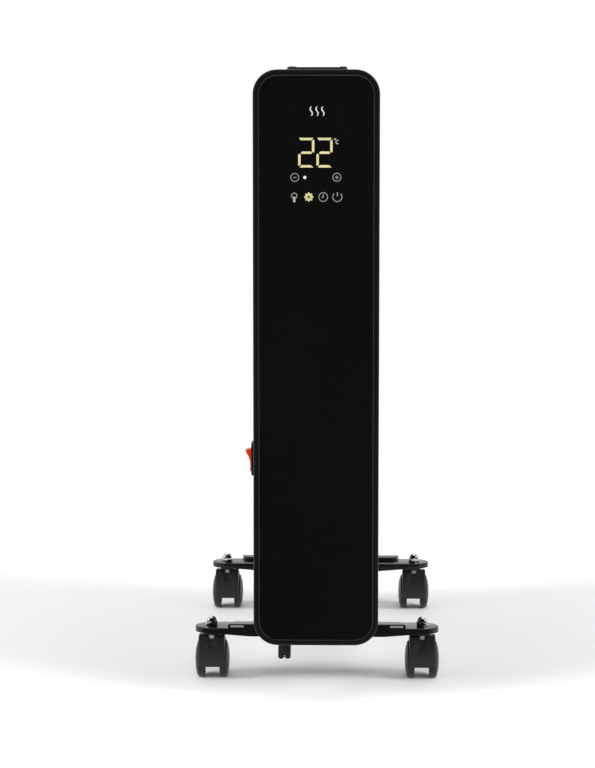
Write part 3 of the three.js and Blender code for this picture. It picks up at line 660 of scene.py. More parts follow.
class HEATER_OT_surfaces(bpy.types.Operator):
    """Makes every finish of the heater"""
    bl_idname = "heater.surfaces"
    bl_label = "Surfaces"

    def execute(self, context):
        tint = colours()
        GROUPS.update(moulded=moulded_group(), enamel=enamel_group(), metal=metal_group(),
                      lamp=lamp_group(), board=board_group())
        surface("black_enamel", "enamel", rgba(tint.enamel), rgba(tint.enamel, 1.25), 420, 14,
                (0.13, 0.2), 0.009, specular=0.35)
        surface("column_plastic", "moulded", rgba(tint.plastic), rgba(tint.plastic, 1.3), 1600, 16,
                (0.38, 0.46), 0.012, specular=0.2)
        surface("bezel_plastic", "moulded", rgba(tint.plastic, 0.7), rgba(tint.plastic, 0.85),
                1400, 12, (0.34, 0.4), 0.004, specular=0.12)
        surface("panel_glass", "moulded", (0.003, 0.0029, 0.0028, 1), (0.0036, 0.0036, 0.0035, 1),
                60, 6, (0.02, 0.05), 0.0, specular=0.3)
        # painted highlight: a light grey on the glass's bevelled edge stands in for the light that
        # edge catches
        surface("glass_edge_highlight", "moulded", (0.085, 0.087, 0.087, 1), (0.11, 0.112, 0.112, 1),
                3000, 60, (0.3, 0.4), 0.01)
        surface("handle_plastic", "moulded", rgba(tint.plastic, 2.0), rgba(tint.plastic, 2.6),
                1500, 20, (0.3, 0.4), 0.01)
        surface("caster_plastic", "moulded", rgba(tint.caster), rgba(tint.caster, 1.3), 1300, 40,
                (0.34, 0.44), 0.018, specular=0.3)
        surface("gland_rubber", "moulded", rgba(tint.plastic, 1.3), rgba(tint.plastic, 1.9), 1100,
                30, (0.5, 0.62), 0.02)
        surface("rocker_plastic", "moulded", rgba(tint.switch), rgba(tint.switch, 0.86), 900, 50,
                (0.14, 0.2), 0.004, specular=0.6)
        surface("mark_white", "moulded", (0.62, 0.62, 0.6, 1), (0.7, 0.7, 0.68, 1), 1500, 60,
                (0.4, 0.5), 0.003)
        # painted highlight: a pale colour for the stem inside the caster hood, so the hood's notch
        # shows a bright spot
        surface("pale_stem_highlight", "moulded", (0.82, 0.82, 0.8, 1), (0.88, 0.88, 0.86, 1), 1200, 60,
                (0.4, 0.5), 0.006)
        surface("chrome", "metal", (0.66, 0.64, 0.61, 1), (0.76, 0.74, 0.71, 1), 500, 90,
                (0.06, 0.12), 0.002, metallic=1.0)
        surface("zinc_steel", "metal", (0.6, 0.6, 0.59, 1), (0.76, 0.76, 0.74, 1), 900, 240,
                (0.28, 0.42), 0.006, metallic=1.0)
        surface("element_sheath", "metal", (0.42, 0.25, 0.15, 1), (0.55, 0.35, 0.22, 1), 900, 120,
                (0.3, 0.45), 0.006, metallic=1.0)
        surface("ceramic", "moulded", (0.66, 0.62, 0.54, 1), (0.74, 0.7, 0.62, 1), 1300, 60,
                (0.35, 0.5), 0.02)
        surface("relay_case", "moulded", (0.03, 0.12, 0.36, 1), (0.04, 0.15, 0.42, 1), 1200, 60,
                (0.2, 0.3), 0.006)
        surface("circuit_board", "board", (0.012, 0.1, 0.035, 1), (0.02, 0.17, 0.06, 1), 1500, 40,
                (0.35, 0.5), 0.02)
        lamp("digit_light", rgba(tint.glow), rgba(tint.glow, 0.84))
        lamp("gear_light", rgba(tint.glow, 0.8), rgba(tint.glow, 0.7))
        lamp("white_light", (0.95, 0.95, 0.86, 1), (0.8, 0.8, 0.72, 1), 400)
        lamp("symbol_light", (0.62, 0.62, 0.54, 1), (0.48, 0.48, 0.42, 1), 400)
        lamp("icon_light", (0.3, 0.3, 0.27, 1), (0.21, 0.21, 0.19, 1), 300)
        # painted glow: the printed heat mark gives off light, though no lamp is behind it
        lamp("printed_mark_glow", (0.8, 0.8, 0.8, 1), (0.72, 0.72, 0.72, 1), 300)
        return {"FINISHED"}


# ---------------------------------------------------------------------------------------------
# Radiator


FIN_SHEET = 0.0016
FLANGE_SHEET = 0.0015
FLANGE_DEPTH = 0.03
CHANNEL_WIDTH = 0.022
CHANNEL_GAP = 0.009
CHANNEL_COUNT = 3
CHANNEL_INSET = 0.016
NECK_RADIUS = 0.02
BOSS_RADIUS = 0.0268
HEADER_INSET = 0.042
HEADER_BORE = 0.013
HEADER_END = 0.012  # how far a closed header reaches past the outermost fins
WELD_RISE = 0.0004
SLOT_END = 0.062  # from a fin's end to the end of the slot between two channels
SHEET_CORNER = 0.03
TOOL_SPARE = 0.01  # how far a cutting tool stands past what it cuts


def channel_pillow(centre, height):
    """The raised oil channels, with two slots between them, rounded all round."""
    half = sizes().channel_rise + FIN_SHEET / 2
    width = CHANNEL_COUNT * CHANNEL_WIDTH + (CHANNEL_COUNT - 1) * CHANNEL_GAP
    reach = Vector((width / 2, half, height / 2 - CHANNEL_INSET))
    pillow = slab("pillow", centre - reach, centre + reach, Y, 0.017, 8)
    for gap in range(1, CHANNEL_COUNT):
        x = centre.x - width / 2 + gap * (CHANNEL_WIDTH + CHANNEL_GAP) - CHANNEL_GAP / 2
        reach = Vector((CHANNEL_GAP / 2, TOOL_SPARE, height / 2 - SLOT_END))
        spot = Vector((x, centre.y, centre.z))
        cut(pillow, slab("slot", spot - reach, spot + reach, Y, CHANNEL_GAP / 2 - 0.0001, 8))
    bevel_rims(pillow, Y, 0.0042, 5)
    return pillow


def header_boss(name, centre, front, rear):
    """A header's swollen boss, its two necks, and the weld bead where it meets its neighbour."""
    profile = [(0, -front), (NECK_RADIUS, -front)]
    if front > HEADER_END:
        profile += [(NECK_RADIUS + WELD_RISE, -front + 0.0009), (NECK_RADIUS, -front + 0.0018)]
    profile += [(NECK_RADIUS, -0.0105), (NECK_RADIUS + 0.0012, -0.0088),
                (BOSS_RADIUS - 0.0012, -0.0072), (BOSS_RADIUS, -0.0052), (BOSS_RADIUS, 0.0052),
                (BOSS_RADIUS - 0.0012, 0.0072), (NECK_RADIUS + 0.0012, 0.0088),
                (NECK_RADIUS, 0.0105)]
    if rear > HEADER_END:
        profile += [(NECK_RADIUS, rear - 0.0018), (NECK_RADIUS + WELD_RISE, rear - 0.0009)]
    profile += [(NECK_RADIUS, rear), (0, rear)]
    return turned(name, profile, centre, (0, 1, 0), 48)


def build_fin(name, node, front, rear):
    """One fin at its node's place: a sheet, its folded side flanges, channels and headers."""
    low, high = corners(node)
    y = fin_middle(node)
    centre = Vector((0, y, (low.z + high.z) / 2))
    height = high.z - low.z
    half = Vector(((high.x - low.x) / 2 - FLANGE_SHEET / 2, FIN_SHEET / 2, height / 2))
    fin = slab(name, centre - half, centre + half, Y, SHEET_CORNER, 10)
    bevel_rims(fin, Y, 0.0006, 2)
    for side in (-1, 1):
        outer = side * (high.x - low.x) / 2
        inner = outer - side * FLANGE_SHEET
        reach = height / 2 - SHEET_CORNER
        flange = slab("flange", (min(outer, inner), y - FLANGE_DEPTH / 2, centre.z - reach),
                      (max(outer, inner), y + FLANGE_DEPTH / 2, centre.z + reach), X, 0.007, 5)
        bevel_rims(flange, X, 0.0005, 2)
        weld(fin, flange)
    weld(fin, channel_pillow(centre, height))
    for up in (-1, 1):
        boss = centre + Vector((0, 0, up * (height / 2 - HEADER_INSET)))
        weld(fin, header_boss("boss", boss, front, rear))
    lower = centre - Vector((0, 0, height / 2 - HEADER_INSET))
    if node != FINS[-1]:
        cut(fin, drum("bore", lower - Vector((0, 0.03, 0)), lower + Vector((0, 0.03, 0)),
                      HEADER_BORE, 32))
    return fin


class HEATER_OT_fins(bpy.types.Operator):
    """Models the eleven pressed fins of the radiator"""
    bl_idname = "heater.fins"
    bl_label = "Fins"

    def execute(self, context):
        first = build_fin("pressed_fin_01", FINS[0], HEADER_END, HALF_LINK)
        last = build_fin("pressed_fin_11", FINS[-1], HALF_LINK, HEADER_END)
        inner = build_fin("pressed_fin_02", FINS[1], HALF_LINK, HALF_LINK)
        copies = [copy_of(inner, f"pressed_fin_{number:02d}", (0, FIN_PITCH * (number - 2), 0))
                  for number in range(3, 11)]
        for piece, node in zip([first, inner, *copies, last], FINS):
            finish_piece(piece, "heater", MATERIALS["black_enamel"], [node], 40)
        return {"FINISHED"}


# ---------------------------------------------------------------------------------------------
# Control column


BEZEL_RIM = 0.0052
BEZEL_LEDGE = 0.004
GLASS_GAP = 0.0003
BEZEL_STEP = 0.0003
HOUSING_WALL = 0.0025
ELEMENT_HOLE = 0.014
POST_HEIGHT = 0.0027


def build_bezel():
    """The rounded frame round the glass, open through its middle."""
    low, high = corners("control_frame")
    size = sizes()
    bezel = slab("column_bezel", low, high, Y, size.column_corner, 20)
    bevel(bezel, rim(Y, low.y), size.column_edge, 5)
    pick(bezel, "FACE", plate_at(Y, low.y))
    bpy.ops.mesh.inset(thickness=BEZEL_RIM - size.column_edge, depth=0)
    bpy.ops.mesh.inset(thickness=BEZEL_STEP, depth=-BEZEL_STEP)
    push((0, 0.0034, 0))
    bpy.ops.mesh.inset(thickness=BEZEL_LEDGE, depth=0)
    bpy.ops.mesh.delete(type="FACE")
    pick(bezel, "FACE", plate_at(Y, high.y))
    bpy.ops.mesh.inset(thickness=BEZEL_RIM + BEZEL_LEDGE + BEZEL_STEP, depth=0)
    bpy.ops.mesh.delete(type="FACE")
    pick(bezel, "EDGE", lambda edge: edge.is_boundary)
    bpy.ops.mesh.bridge_edge_loops()
    leave()
    return bezel


def build_glass():
    """The glass, its bevelled edge painted lighter as a highlight."""
    low, high = corners("glass_panel")
    size = sizes()
    glass = slab("touch_glass", low, high, Y, size.column_corner - BEZEL_RIM - GLASS_GAP, 20)
    bevel(glass, rim(Y, low.y), size.glass_seam, 1)
    leave()
    glass.data.materials.append(MATERIALS["panel_glass"])
    glass.data.materials.append(MATERIALS["glass_edge_highlight"])
    # painted highlight: the bevelled edge faces get the lighter grey
    paint(glass, lambda face: -0.95 < face.normal.y < -0.3, 1)
    return glass


def build_housing():
    """The column's side walls and rear wall, with the holes for the switch and the cord."""
    low, high = corners("control_housing")
    high.y -= POST_HEIGHT
    shell = slab("column_shell", low, high, Y, sizes().column_corner, 20)
    bevel(shell, rim(Y, high.y), 0.0025, 4)
    pick(shell, "FACE", plate_at(Y, low.y))
    bpy.ops.mesh.inset(thickness=HOUSING_WALL, depth=0)
    push((0, high.y - low.y - HOUSING_WALL, 0))
    leave()
    switch_low, switch_high = corners("rocker_bezel")
    reach = Vector((0.01, 0.0012, 0.0018))
    cut(shell, cuboid("hole", (low.x - 0.01, switch_low.y + reach.y, switch_low.z + reach.z),
                      (low.x + 0.006, switch_high.y - reach.y, switch_high.z - reach.z)))
    gland = middle("cord_gland")
    cut(shell, drum("hole", (gland.x, gland.y, low.z - 0.01),
                    (gland.x, gland.y, low.z + 0.006), 0.0055, 32))
    hole = middle("element_flange")
    cut(shell, drum("hole", (hole.x, high.y - 0.006, hole.z),
                    (hole.x, high.y + 0.006, hole.z), ELEMENT_HOLE, 40))
    for side in (-1, 1):
        for up in (-1, 1):
            spot = Vector((COLUMN_MIDDLE.x + side * 0.0535, high.y - 0.001,
                           COLUMN_MIDDLE.z + up * 0.267))
            weld(shell, drum("post", spot, spot + Vector((0, POST_HEIGHT + 0.001, 0)), 0.004, 24,
                             0.0034))
    return shell


SHIELD_SHEET = 0.0015
LOUVRE_ROWS = 7
LOUVRE_PITCH = 0.022
LOUVRE_SIDE = 0.024
BRACKET_HEIGHTS = (0.147, 0.467)
BRACKET_WIDTH = 0.009
BRACKET_SHEET = 0.0016


def build_shield():
    """The steel plate behind the column, with louvres and four brackets to the first fin."""
    low, high = corners("heat_shield")
    plate_back = low.y + SHIELD_SHEET
    corner = sizes().column_corner - 0.003
    plate = slab("rear_shield", low, (high.x, plate_back, high.z), Y, corner, 16)
    bevel_rims(plate, Y, 0.0004, 2)
    hole = middle("element_flange")
    cut(plate, drum("hole", (hole.x, low.y - 0.01, hole.z), (hole.x, plate_back + 0.01, hole.z),
                    ELEMENT_HOLE, 40))
    rows = [row for row in range(-LOUVRE_ROWS, LOUVRE_ROWS + 1) if abs(row) > 1]
    for row in rows:
        z = COLUMN_MIDDLE.z + row * LOUVRE_PITCH
        for side in (-1, 1):
            x = COLUMN_MIDDLE.x + side * LOUVRE_SIDE
            louvre = slab("louvre", (x - 0.016, low.y - 0.01, z - 0.0014),
                          (x + 0.016, plate_back + 0.01, z + 0.0014), Y, 0.00135, 4)
            cut(plate, louvre)
    inner = corners("fin_01")[1].x - 0.0035
    for up in BRACKET_HEIGHTS:
        z = low.z + up
        for side in (-1, 1):
            ends = sorted((side * inner, side * (inner - BRACKET_WIDTH)))
            shelf = slab("shelf", (ends[0], plate_back - 0.0003, z),
                         (ends[1], high.y, z + BRACKET_SHEET), Y, 0.0004, 2)
            foot = slab("foot", (ends[0], high.y - BRACKET_SHEET, z - 0.014),
                        (ends[1], high.y, z + BRACKET_SHEET), X, 0.0004, 2)
            weld(plate, weld(shelf, foot))
    return plate


class HEATER_OT_column(bpy.types.Operator):
    """Models the control column: bezel, glass, shell and rear shield"""
    bl_idname = "heater.column"
    bl_label = "Control column"

    def execute(self, context):
        finish_piece(build_bezel(), "heater", MATERIALS["bezel_plastic"],
                     ["control_frame"])
        finish_piece(build_glass(), "heater", MATERIALS["panel_glass"],
                     ["glass_panel"], 20)
        finish_piece(build_housing(), "heater", MATERIALS["column_plastic"],
                     ["control_housing"])
        finish_piece(build_shield(), "heater", MATERIALS["black_enamel"],
                     ["heat_shield"])
        return {"FINISHED"}


# ---------------------------------------------------------------------------------------------
# Lit display and printed mark


SKIN = 0.0002
LIFT = 0.00006
WAVE_HEIGHT = 0.0096
WAVE_GAP = 0.0058
WAVE_SWAY = 0.0011
WAVE_STEPS = 12
GEAR_TEETH = 8
GEAR_STEPS = 64
DIGIT_TOP = 0.0677
SETTING_ROW = 0.1071
MODE_ROW = 0.1266
RING_WIDTH = 0.0009


def on_glass(x, below_top):
    """A point on the glass, from the column's middle line and down from the column's top."""
    return Vector((COLUMN_MIDDLE.x + x, corners("glass_panel")[0].y - LIFT,
                   COLUMN_HIGH.z - below_top))


def flat_shape(name, origin, points):
    """A thin tile on the glass; its points are (right, down) from origin."""
    outline = [origin + Vector((right, 0, -down)) for right, down in points]
    return outlined(name, outline, (0, SKIN, 0))


def flat_ring(name, centre, radius, width, sweep=2 * math.pi, side=(0, 0, 1)):
    profile = [(radius - width, 0), (radius, 0), (radius, SKIN), (radius - width, SKIN),
               (radius - width, 0)]
    return turned(name, profile, centre, (0, 1, 0), 48, sweep, side)


def bar(name, centre, width, height):
    half_width, half_height = width / 2, height / 2
    tip = min(half_width, half_height) * 0.6
    points = [(-half_width + tip, -half_height), (half_width - tip, -half_height),
              (half_width, -half_height + tip), (half_width, half_height - tip),
              (half_width - tip, half_height), (-half_width + tip, half_height),
              (-half_width, half_height - tip), (-half_width, -half_height + tip)]
    return flat_shape(name, centre, points)


def digit_two(name, origin):
    """The digit 2 in five bars, with bevelled ends where two bars meet."""
    size = sizes()
    width, height, thick = size.digit_width, size.digit_height, size.digit_bar
    half = height / 2
    slant = thick * 0.75
    gap = thick * 0.12
    bars = {
        "top": [(slant * 0.4, 0), (width - slant * 0.6, 0), (width - slant * 1.4, thick),
                (slant * 1.4, thick)],
        "upper_right": [(width - thick * 0.3, thick * 0.75), (width, thick * 1.2),
                        (width, half - thick * 0.35), (width - thick * 0.4, half - gap * 0.4),
                        (width - thick, half - thick * 0.4), (width - thick, thick * 1.4)],
        "centre": [(thick * 1.15, half), (thick * 1.7, half - thick / 2),
                   (width - thick * 1.45, half - thick / 2), (width - thick * 0.95, half),
                   (width - thick * 1.25, half + thick / 2), (thick * 1.25, half + thick / 2)],
        "lower_left": [(0, half + thick * 0.9), (thick * 0.4, half + thick * 0.45),
                       (thick, half + thick * 0.8), (thick, height - thick * 1.25),
                       (thick * 0.45, height - thick * 0.75), (0, height - thick * 0.9)],
        "bottom": [(thick * 1.3, height - thick), (width - thick * 1.55, height - thick),
                   (width - slant * 0.5, height), (slant * 0.8, height)],
    }
    pieces = [flat_shape(f"{name}_{label}", origin, points) for label, points in bars.items()]
    digit = join(*pieces)
    digit.name = name
    return digit


def heat_mark(name, centre):
    """Three rising waves, a plain sign for heat."""
    waves = []
    for index in (-1, 0, 1):
        left, right = [], []
        for step in range(WAVE_STEPS + 1):
            share = step / WAVE_STEPS
            thick = 0.00075 * math.sin(math.pi * (0.14 + 0.72 * share))
            x = index * WAVE_GAP + WAVE_SWAY * math.sin(2 * math.pi * share)
            down = WAVE_HEIGHT * (0.5 - share)
            left.append((x - thick, down))
            right.append((x + thick, down))
        waves.append(flat_shape(f"{name}_wave", centre, left + right[::-1]))
    mark = join(*waves)
    mark.name = name
    return mark


def gear_icon(name, centre):
    points = []
    for step in range(GEAR_STEPS):
        angle = 2 * math.pi * step / GEAR_STEPS
        radius = 0.0042 + 0.0005 * math.cos(GEAR_TEETH * angle)
        points.append((radius * math.sin(angle), -radius * math.cos(angle)))
    icon = flat_shape(name, centre, points)
    return cut(icon, drum("hole", centre - Vector((0, 0.002, 0)), centre + Vector((0, 0.002, 0)),
                          0.0011, 24))


class HEATER_OT_display(bpy.types.Operator):
    """Models the lit digits, the touch icons and the printed heat mark"""
    bl_idname = "heater.display"
    bl_label = "Display"

    def execute(self, context):
        made = []
        for name, x in (("digit_tens", -0.018), ("digit_units", 0.0002)):
            made.append((digit_two(name, on_glass(x, DIGIT_TOP)), "digit_light"))
        degree = on_glass(0.0187, DIGIT_TOP + 0.0014)
        celsius = on_glass(0.0214, DIGIT_TOP + 0.0042)
        letter = flat_ring("degree_mark", celsius, 0.0021, 0.0007, 1.36 * math.pi,
                           (math.sin(0.82 * math.pi), 0, math.cos(0.82 * math.pi)))
        made.append((join(letter, flat_ring("small_ring", degree, 0.00105, 0.0005)),
                     "symbol_light"))
        ring = 0.00445
        minus = on_glass(-0.0214, SETTING_ROW)
        made.append((join(flat_ring("icon_minus", minus, ring, RING_WIDTH),
                          bar("dash", minus, 0.0032, 0.001)), "icon_light"))
        lamp_spot = on_glass(-0.0114, SETTING_ROW)
        dot = drum("lamp_dot", lamp_spot, lamp_spot + Vector((0, SKIN, 0)), 0.0016, 24)
        bevel_rims(dot, Y, 0.00006, 2, (True, False))
        made.append((dot, "white_light"))
        plus = on_glass(0.0206, SETTING_ROW - 0.0002)
        made.append((join(flat_ring("icon_plus", plus, ring, RING_WIDTH),
                          bar("dash", plus, 0.0036, 0.0012), bar("stroke", plus, 0.0012, 0.0036)),
                     "icon_light"))
        bulb = on_glass(-0.0219, MODE_ROW - 0.0012)
        made.append((flat_ring("icon_bulb", bulb, 0.0032, 0.001), "icon_light"))
        made.append((bar("icon_bulb_neck", bulb + Vector((0, 0, -0.0037)), 0.0021, 0.0056),
                     "symbol_light"))
        made.append((gear_icon("icon_gear", on_glass(-0.0074, MODE_ROW)), "gear_light"))
        clock = on_glass(0.007, MODE_ROW)
        made.append((join(flat_ring("icon_clock", clock, 0.0048, RING_WIDTH),
                          bar("hand", clock + Vector((0, 0, 0.0009)), 0.0011, 0.0034),
                          bar("short_hand", clock + Vector((-0.0006, 0, -0.0004)), 0.0022, 0.001)),
                     "icon_light"))
        power = on_glass(0.0211, MODE_ROW - 0.0001)
        gap = 0.75
        arc = flat_ring("icon_power", power, 0.0051, 0.001, 2 * math.pi - 2 * gap,
                        (math.sin(gap), 0, math.cos(gap)))
        made.append((join(arc, bar("stroke", power + Vector((0, 0, 0.0026)), 0.0013, 0.0042)),
                     "icon_light"))
        # painted glow: the printed heat mark is given the glowing material
        made.append((heat_mark("heat_mark", on_glass(0.0008, 0.0413)), "printed_mark_glow"))
        for piece, material in made:
            finish_piece(piece, "heater", MATERIALS[material])
        return {"FINISHED"}


# ---------------------------------------------------------------------------------------------
# Mains switch and cord outlet


ROCKER_TILT = math.radians(13)


def build_switch_bezel():
    low, high = corners("rocker_bezel")
    centre = middle("rocker_bezel")
    face_depth = 0.0026
    plate = slab("switch_bezel", low, (low.x + face_depth, high.y, high.z), X, 0.0025, 6)
    bevel_rims(plate, X, 0.0009, 4, (True, False))
    body = slab("body", (low.x + face_depth - 0.0005, centre.y - 0.008, centre.z - 0.015),
                (high.x, centre.y + 0.008, centre.z + 0.015), X, 0.001, 3)
    weld(plate, body)
    pocket = slab("pocket", (low.x - 0.01, centre.y - 0.0063, centre.z - 0.013),
                  (low.x + face_depth + 0.012, centre.y + 0.0063, centre.z + 0.013), X, 0.0006, 2)
    return cut(plate, pocket)


def build_rocker():
    """The concave red rocker, its upper end out, with a bar and a ring inlaid on its faces."""
    low, high = corners("rocker")
    bezel_low, _ = corners("rocker_bezel")
    pivot = Vector((bezel_low.x + 0.0049, middle("rocker").y, middle("rocker_bezel").z))
    half_width = 0.006
    outline = [(-0.0066, 0), (-0.0072, 0.0045), (-0.0089, 0.0112), (-0.0049, 0.0115), (0, 0.0115),
               (0.004, 0.0056), (0.004, -0.0056), (0, -0.0115), (-0.0049, -0.0115),
               (-0.0089, -0.0112), (-0.0072, -0.0045)]
    lean = Vector((math.cos(ROCKER_TILT), 0, math.sin(ROCKER_TILT)))
    rise = Vector((-math.sin(ROCKER_TILT), 0, math.cos(ROCKER_TILT)))

    def place(out, up, across=0.0):
        return pivot + lean * out + rise * up + Vector((0, across, 0))

    rocker = outlined("red_rocker", [place(out, up, -half_width) for out, up in outline],
                      (0, 2 * half_width, 0))
    soften(rocker, 0.0005, 3, 25)
    weld(rocker, drum("pin", (pivot.x, low.y, pivot.z), (pivot.x, high.y, pivot.z), 0.0012, 20))
    slope = math.atan2(0.0089 - 0.0072, 0.0112 - 0.0045)
    upper = place(-0.00798, 0.0077)
    stroke = cuboid("rocker_bar_mark", upper - Vector((0.0006, 0.0006, 0.0022)),
                    upper + Vector((0.0006, 0.0006, 0.0022)))
    edit(stroke)
    everything()
    bpy.ops.transform.rotate(value=-(ROCKER_TILT + slope), orient_axis="Y",
                             center_override=upper)
    leave()
    soften(stroke, 0.0002, 2)
    lower = place(-0.00798, -0.0077)
    normal = (-lean * math.cos(slope) + rise * math.sin(slope)).normalized()
    profile = [(0.0016, -0.0005), (0.0022, -0.0005), (0.0022, 0.0004), (0.0016, 0.0004),
               (0.0016, -0.0005)]
    return rocker, stroke, turned("rocker_ring_mark", profile, lower, normal, 32)


def build_gland():
    """The cord outlet: a plain neck, a nut inside, and a two-lobed clamp below."""
    low, high = corners("cord_gland")
    centre = middle("cord_gland")
    floor = COLUMN_LOW.z
    axis = Vector((centre.x, centre.y, 0))
    radius = 0.0064
    body = turned("cord_outlet", [
        (0, low.z + radius), (radius - 0.0005, low.z + radius), (radius - 0.0002, low.z + 0.0074),
        (radius - 0.0002, floor - 0.0012), (radius - 0.0006, floor - 0.0004),
        (0.0052, floor - 0.0004), (0.0052, floor + 0.0029), (0.009, floor + 0.0029),
        (0.009, floor + 0.0072), (0.0084, floor + 0.0078), (0, floor + 0.0078)],
        axis, (0, 0, 1), 48)
    jaw = slab("jaw", (centre.x - radius, centre.y - 0.0054, low.z),
               (centre.x + radius, centre.y + 0.0054, low.z + 3 * radius), Y, 0.0026, 8)
    bevel_rims(jaw, Y, 0.0006, 3)
    cut(jaw, cuboid("upper", (centre.x - 0.01, centre.y - 0.01, low.z + 2 * radius),
                    (centre.x + 0.01, centre.y + 0.01, high.z + 0.01)))
    weld(body, jaw)
    cut(body, drum("bore", (centre.x, centre.y, low.z - 0.01),
                   (centre.x, centre.y, high.z + 0.01), 0.0032, 47))
    cut(body, slab("notch", (centre.x - 0.0015, centre.y - 0.02, low.z - 0.004),
                   (centre.x + 0.0015, centre.y + 0.02, low.z + 0.0016), Y, 0.0008, 3))
    cut(body, drum("eye", (centre.x, centre.y - 0.02, low.z + 0.0034),
                   (centre.x, centre.y + 0.02, low.z + 0.0034), 0.001, 16))
    return body


class HEATER_OT_switch(bpy.types.Operator):
    """Models the mains rocker in its bezel and the cord outlet"""
    bl_idname = "heater.switch"
    bl_label = "Switch and cord outlet"

    def execute(self, context):
        finish_piece(build_switch_bezel(), "heater", MATERIALS["bezel_plastic"],
                     ["rocker_bezel"])
        rocker, *marks = build_rocker()
        finish_piece(rocker, "mains_switch", MATERIALS["rocker_plastic"],
                     ["rocker"], 50)
        for mark in marks:
            finish_piece(mark, "mains_switch", MATERIALS["mark_white"])
        finish_piece(build_gland(), "heater", MATERIALS["gland_rubber"],
                     ["cord_gland"])
        return {"FINISHED"}


# ---------------------------------------------------------------------------------------------
# Carry handle


GRIP_CORNER = 0.005
GRIP_WAIST = 0.258
GRIP_LIP = 0.008
GRIP_DISH = 0.0008


def grip_outline(low, high, z):
    """The grip seen from above: rounded corners and a waist that leaves both ends wide."""
    middle_y = (low.y + high.y) / 2
    half_length = (high.y - low.y) / 2
    side = []
    for step in range(-20, 21):
        share = step / 20
        y = share * (half_length - GRIP_CORNER)
        swell = min(1.0, max(0.0, (abs(share) - 0.42) / 0.5))
        ease = swell * swell * (3 - 2 * swell)
        side.append((high.x * (1 - GRIP_WAIST * (1 - ease)), y))
    far_side = [(-x, y) for x, y in reversed(side)]
    x, y = high.x - GRIP_CORNER, half_length - GRIP_CORNER
    rounds = [arc_points(spot, GRIP_CORNER, quarter * math.pi / 2, (quarter + 1) * math.pi / 2, 6)
              for quarter, spot in enumerate(((x, y), (-x, y), (-x, -y), (x, -y)))]
    outline = side + rounds[0][1:] + rounds[1]
    outline += far_side[1:] + rounds[2][1:] + rounds[3][:-1]
    return [(x, middle_y + y, z) for x, y in outline]


def build_handle():
    """A dished grip with raised lips and a waist, on two legs clipped over fin sheets."""
    low, high = corners("handle")
    top = high.z
    under = top - 0.015
    grip = outlined("carry_handle", grip_outline(low, high, under), (0, 0, top - under))
    bevel_rims(grip, Z, 0.0026, 4)
    half = high.x - GRIP_LIP
    dish = [(-half - 0.0016, top + 0.002), (-half - 0.0008, top - 0.0003), (-half, top - GRIP_DISH),
            (half, top - GRIP_DISH), (half + 0.0008, top - 0.0003), (half + 0.0016, top + 0.002)]
    cut(grip, outlined("dish", [(x, low.y - 0.01, z) for x, z in dish],
                       (0, high.y - low.y + 0.02, 0)))
    for node in ("fin_01", "fin_04"):
        fin_y = fin_middle(node)
        leg = slab("leg", (low.x + 0.0025, fin_y - 0.0045, low.z),
                   (high.x - 0.0025, fin_y + 0.0045, under + 0.006), Z, 0.0035, 4)
        flare = slab("flare", (low.x + 0.003, fin_y - 0.0063, under - 0.004),
                     (high.x - 0.003, fin_y + 0.0063, under + 0.006), Z, 0.005, 4)
        bevel_rims(flare, Z, 0.0015, 3, (True, False))
        weld(grip, leg, flare)
        clip = cuboid("clip", (low.x - 0.01, fin_y - 0.0011, low.z - 0.01),
                      (high.x + 0.01, fin_y + 0.0011, corners("fin_02")[1].z + 0.0003))
        cut(grip, clip)
    return grip


class HEATER_OT_handle(bpy.types.Operator):
    """Models the carry handle behind the column"""
    bl_idname = "heater.handle"
    bl_label = "Handle"

    def execute(self, context):
        finish_piece(build_handle(), "heater", MATERIALS["handle_plastic"],
                     ["handle"], 40)
        return {"FINISHED"}


# ---------------------------------------------------------------------------------------------
# Feet and their fixings


FOOT_SHEET = 0.002
PLATE_TOP = 0.059
RIM_FLAT = 0.07  # the folded rim is level out to here, and climbs from here to RIM_END
RIM_END = 0.1115
RIM_RISE = 0.0032
STRIP_HALF = 0.0935
STRIP_CURVE = 0.009
STRIP_ROOT = 0.002
SLOT_SIDE = 0.084
ROD_RADIUS = 0.003
THREAD_PITCH = 0.0011
THREAD_TURNS = 16
THREAD_DEPTH = 0.86


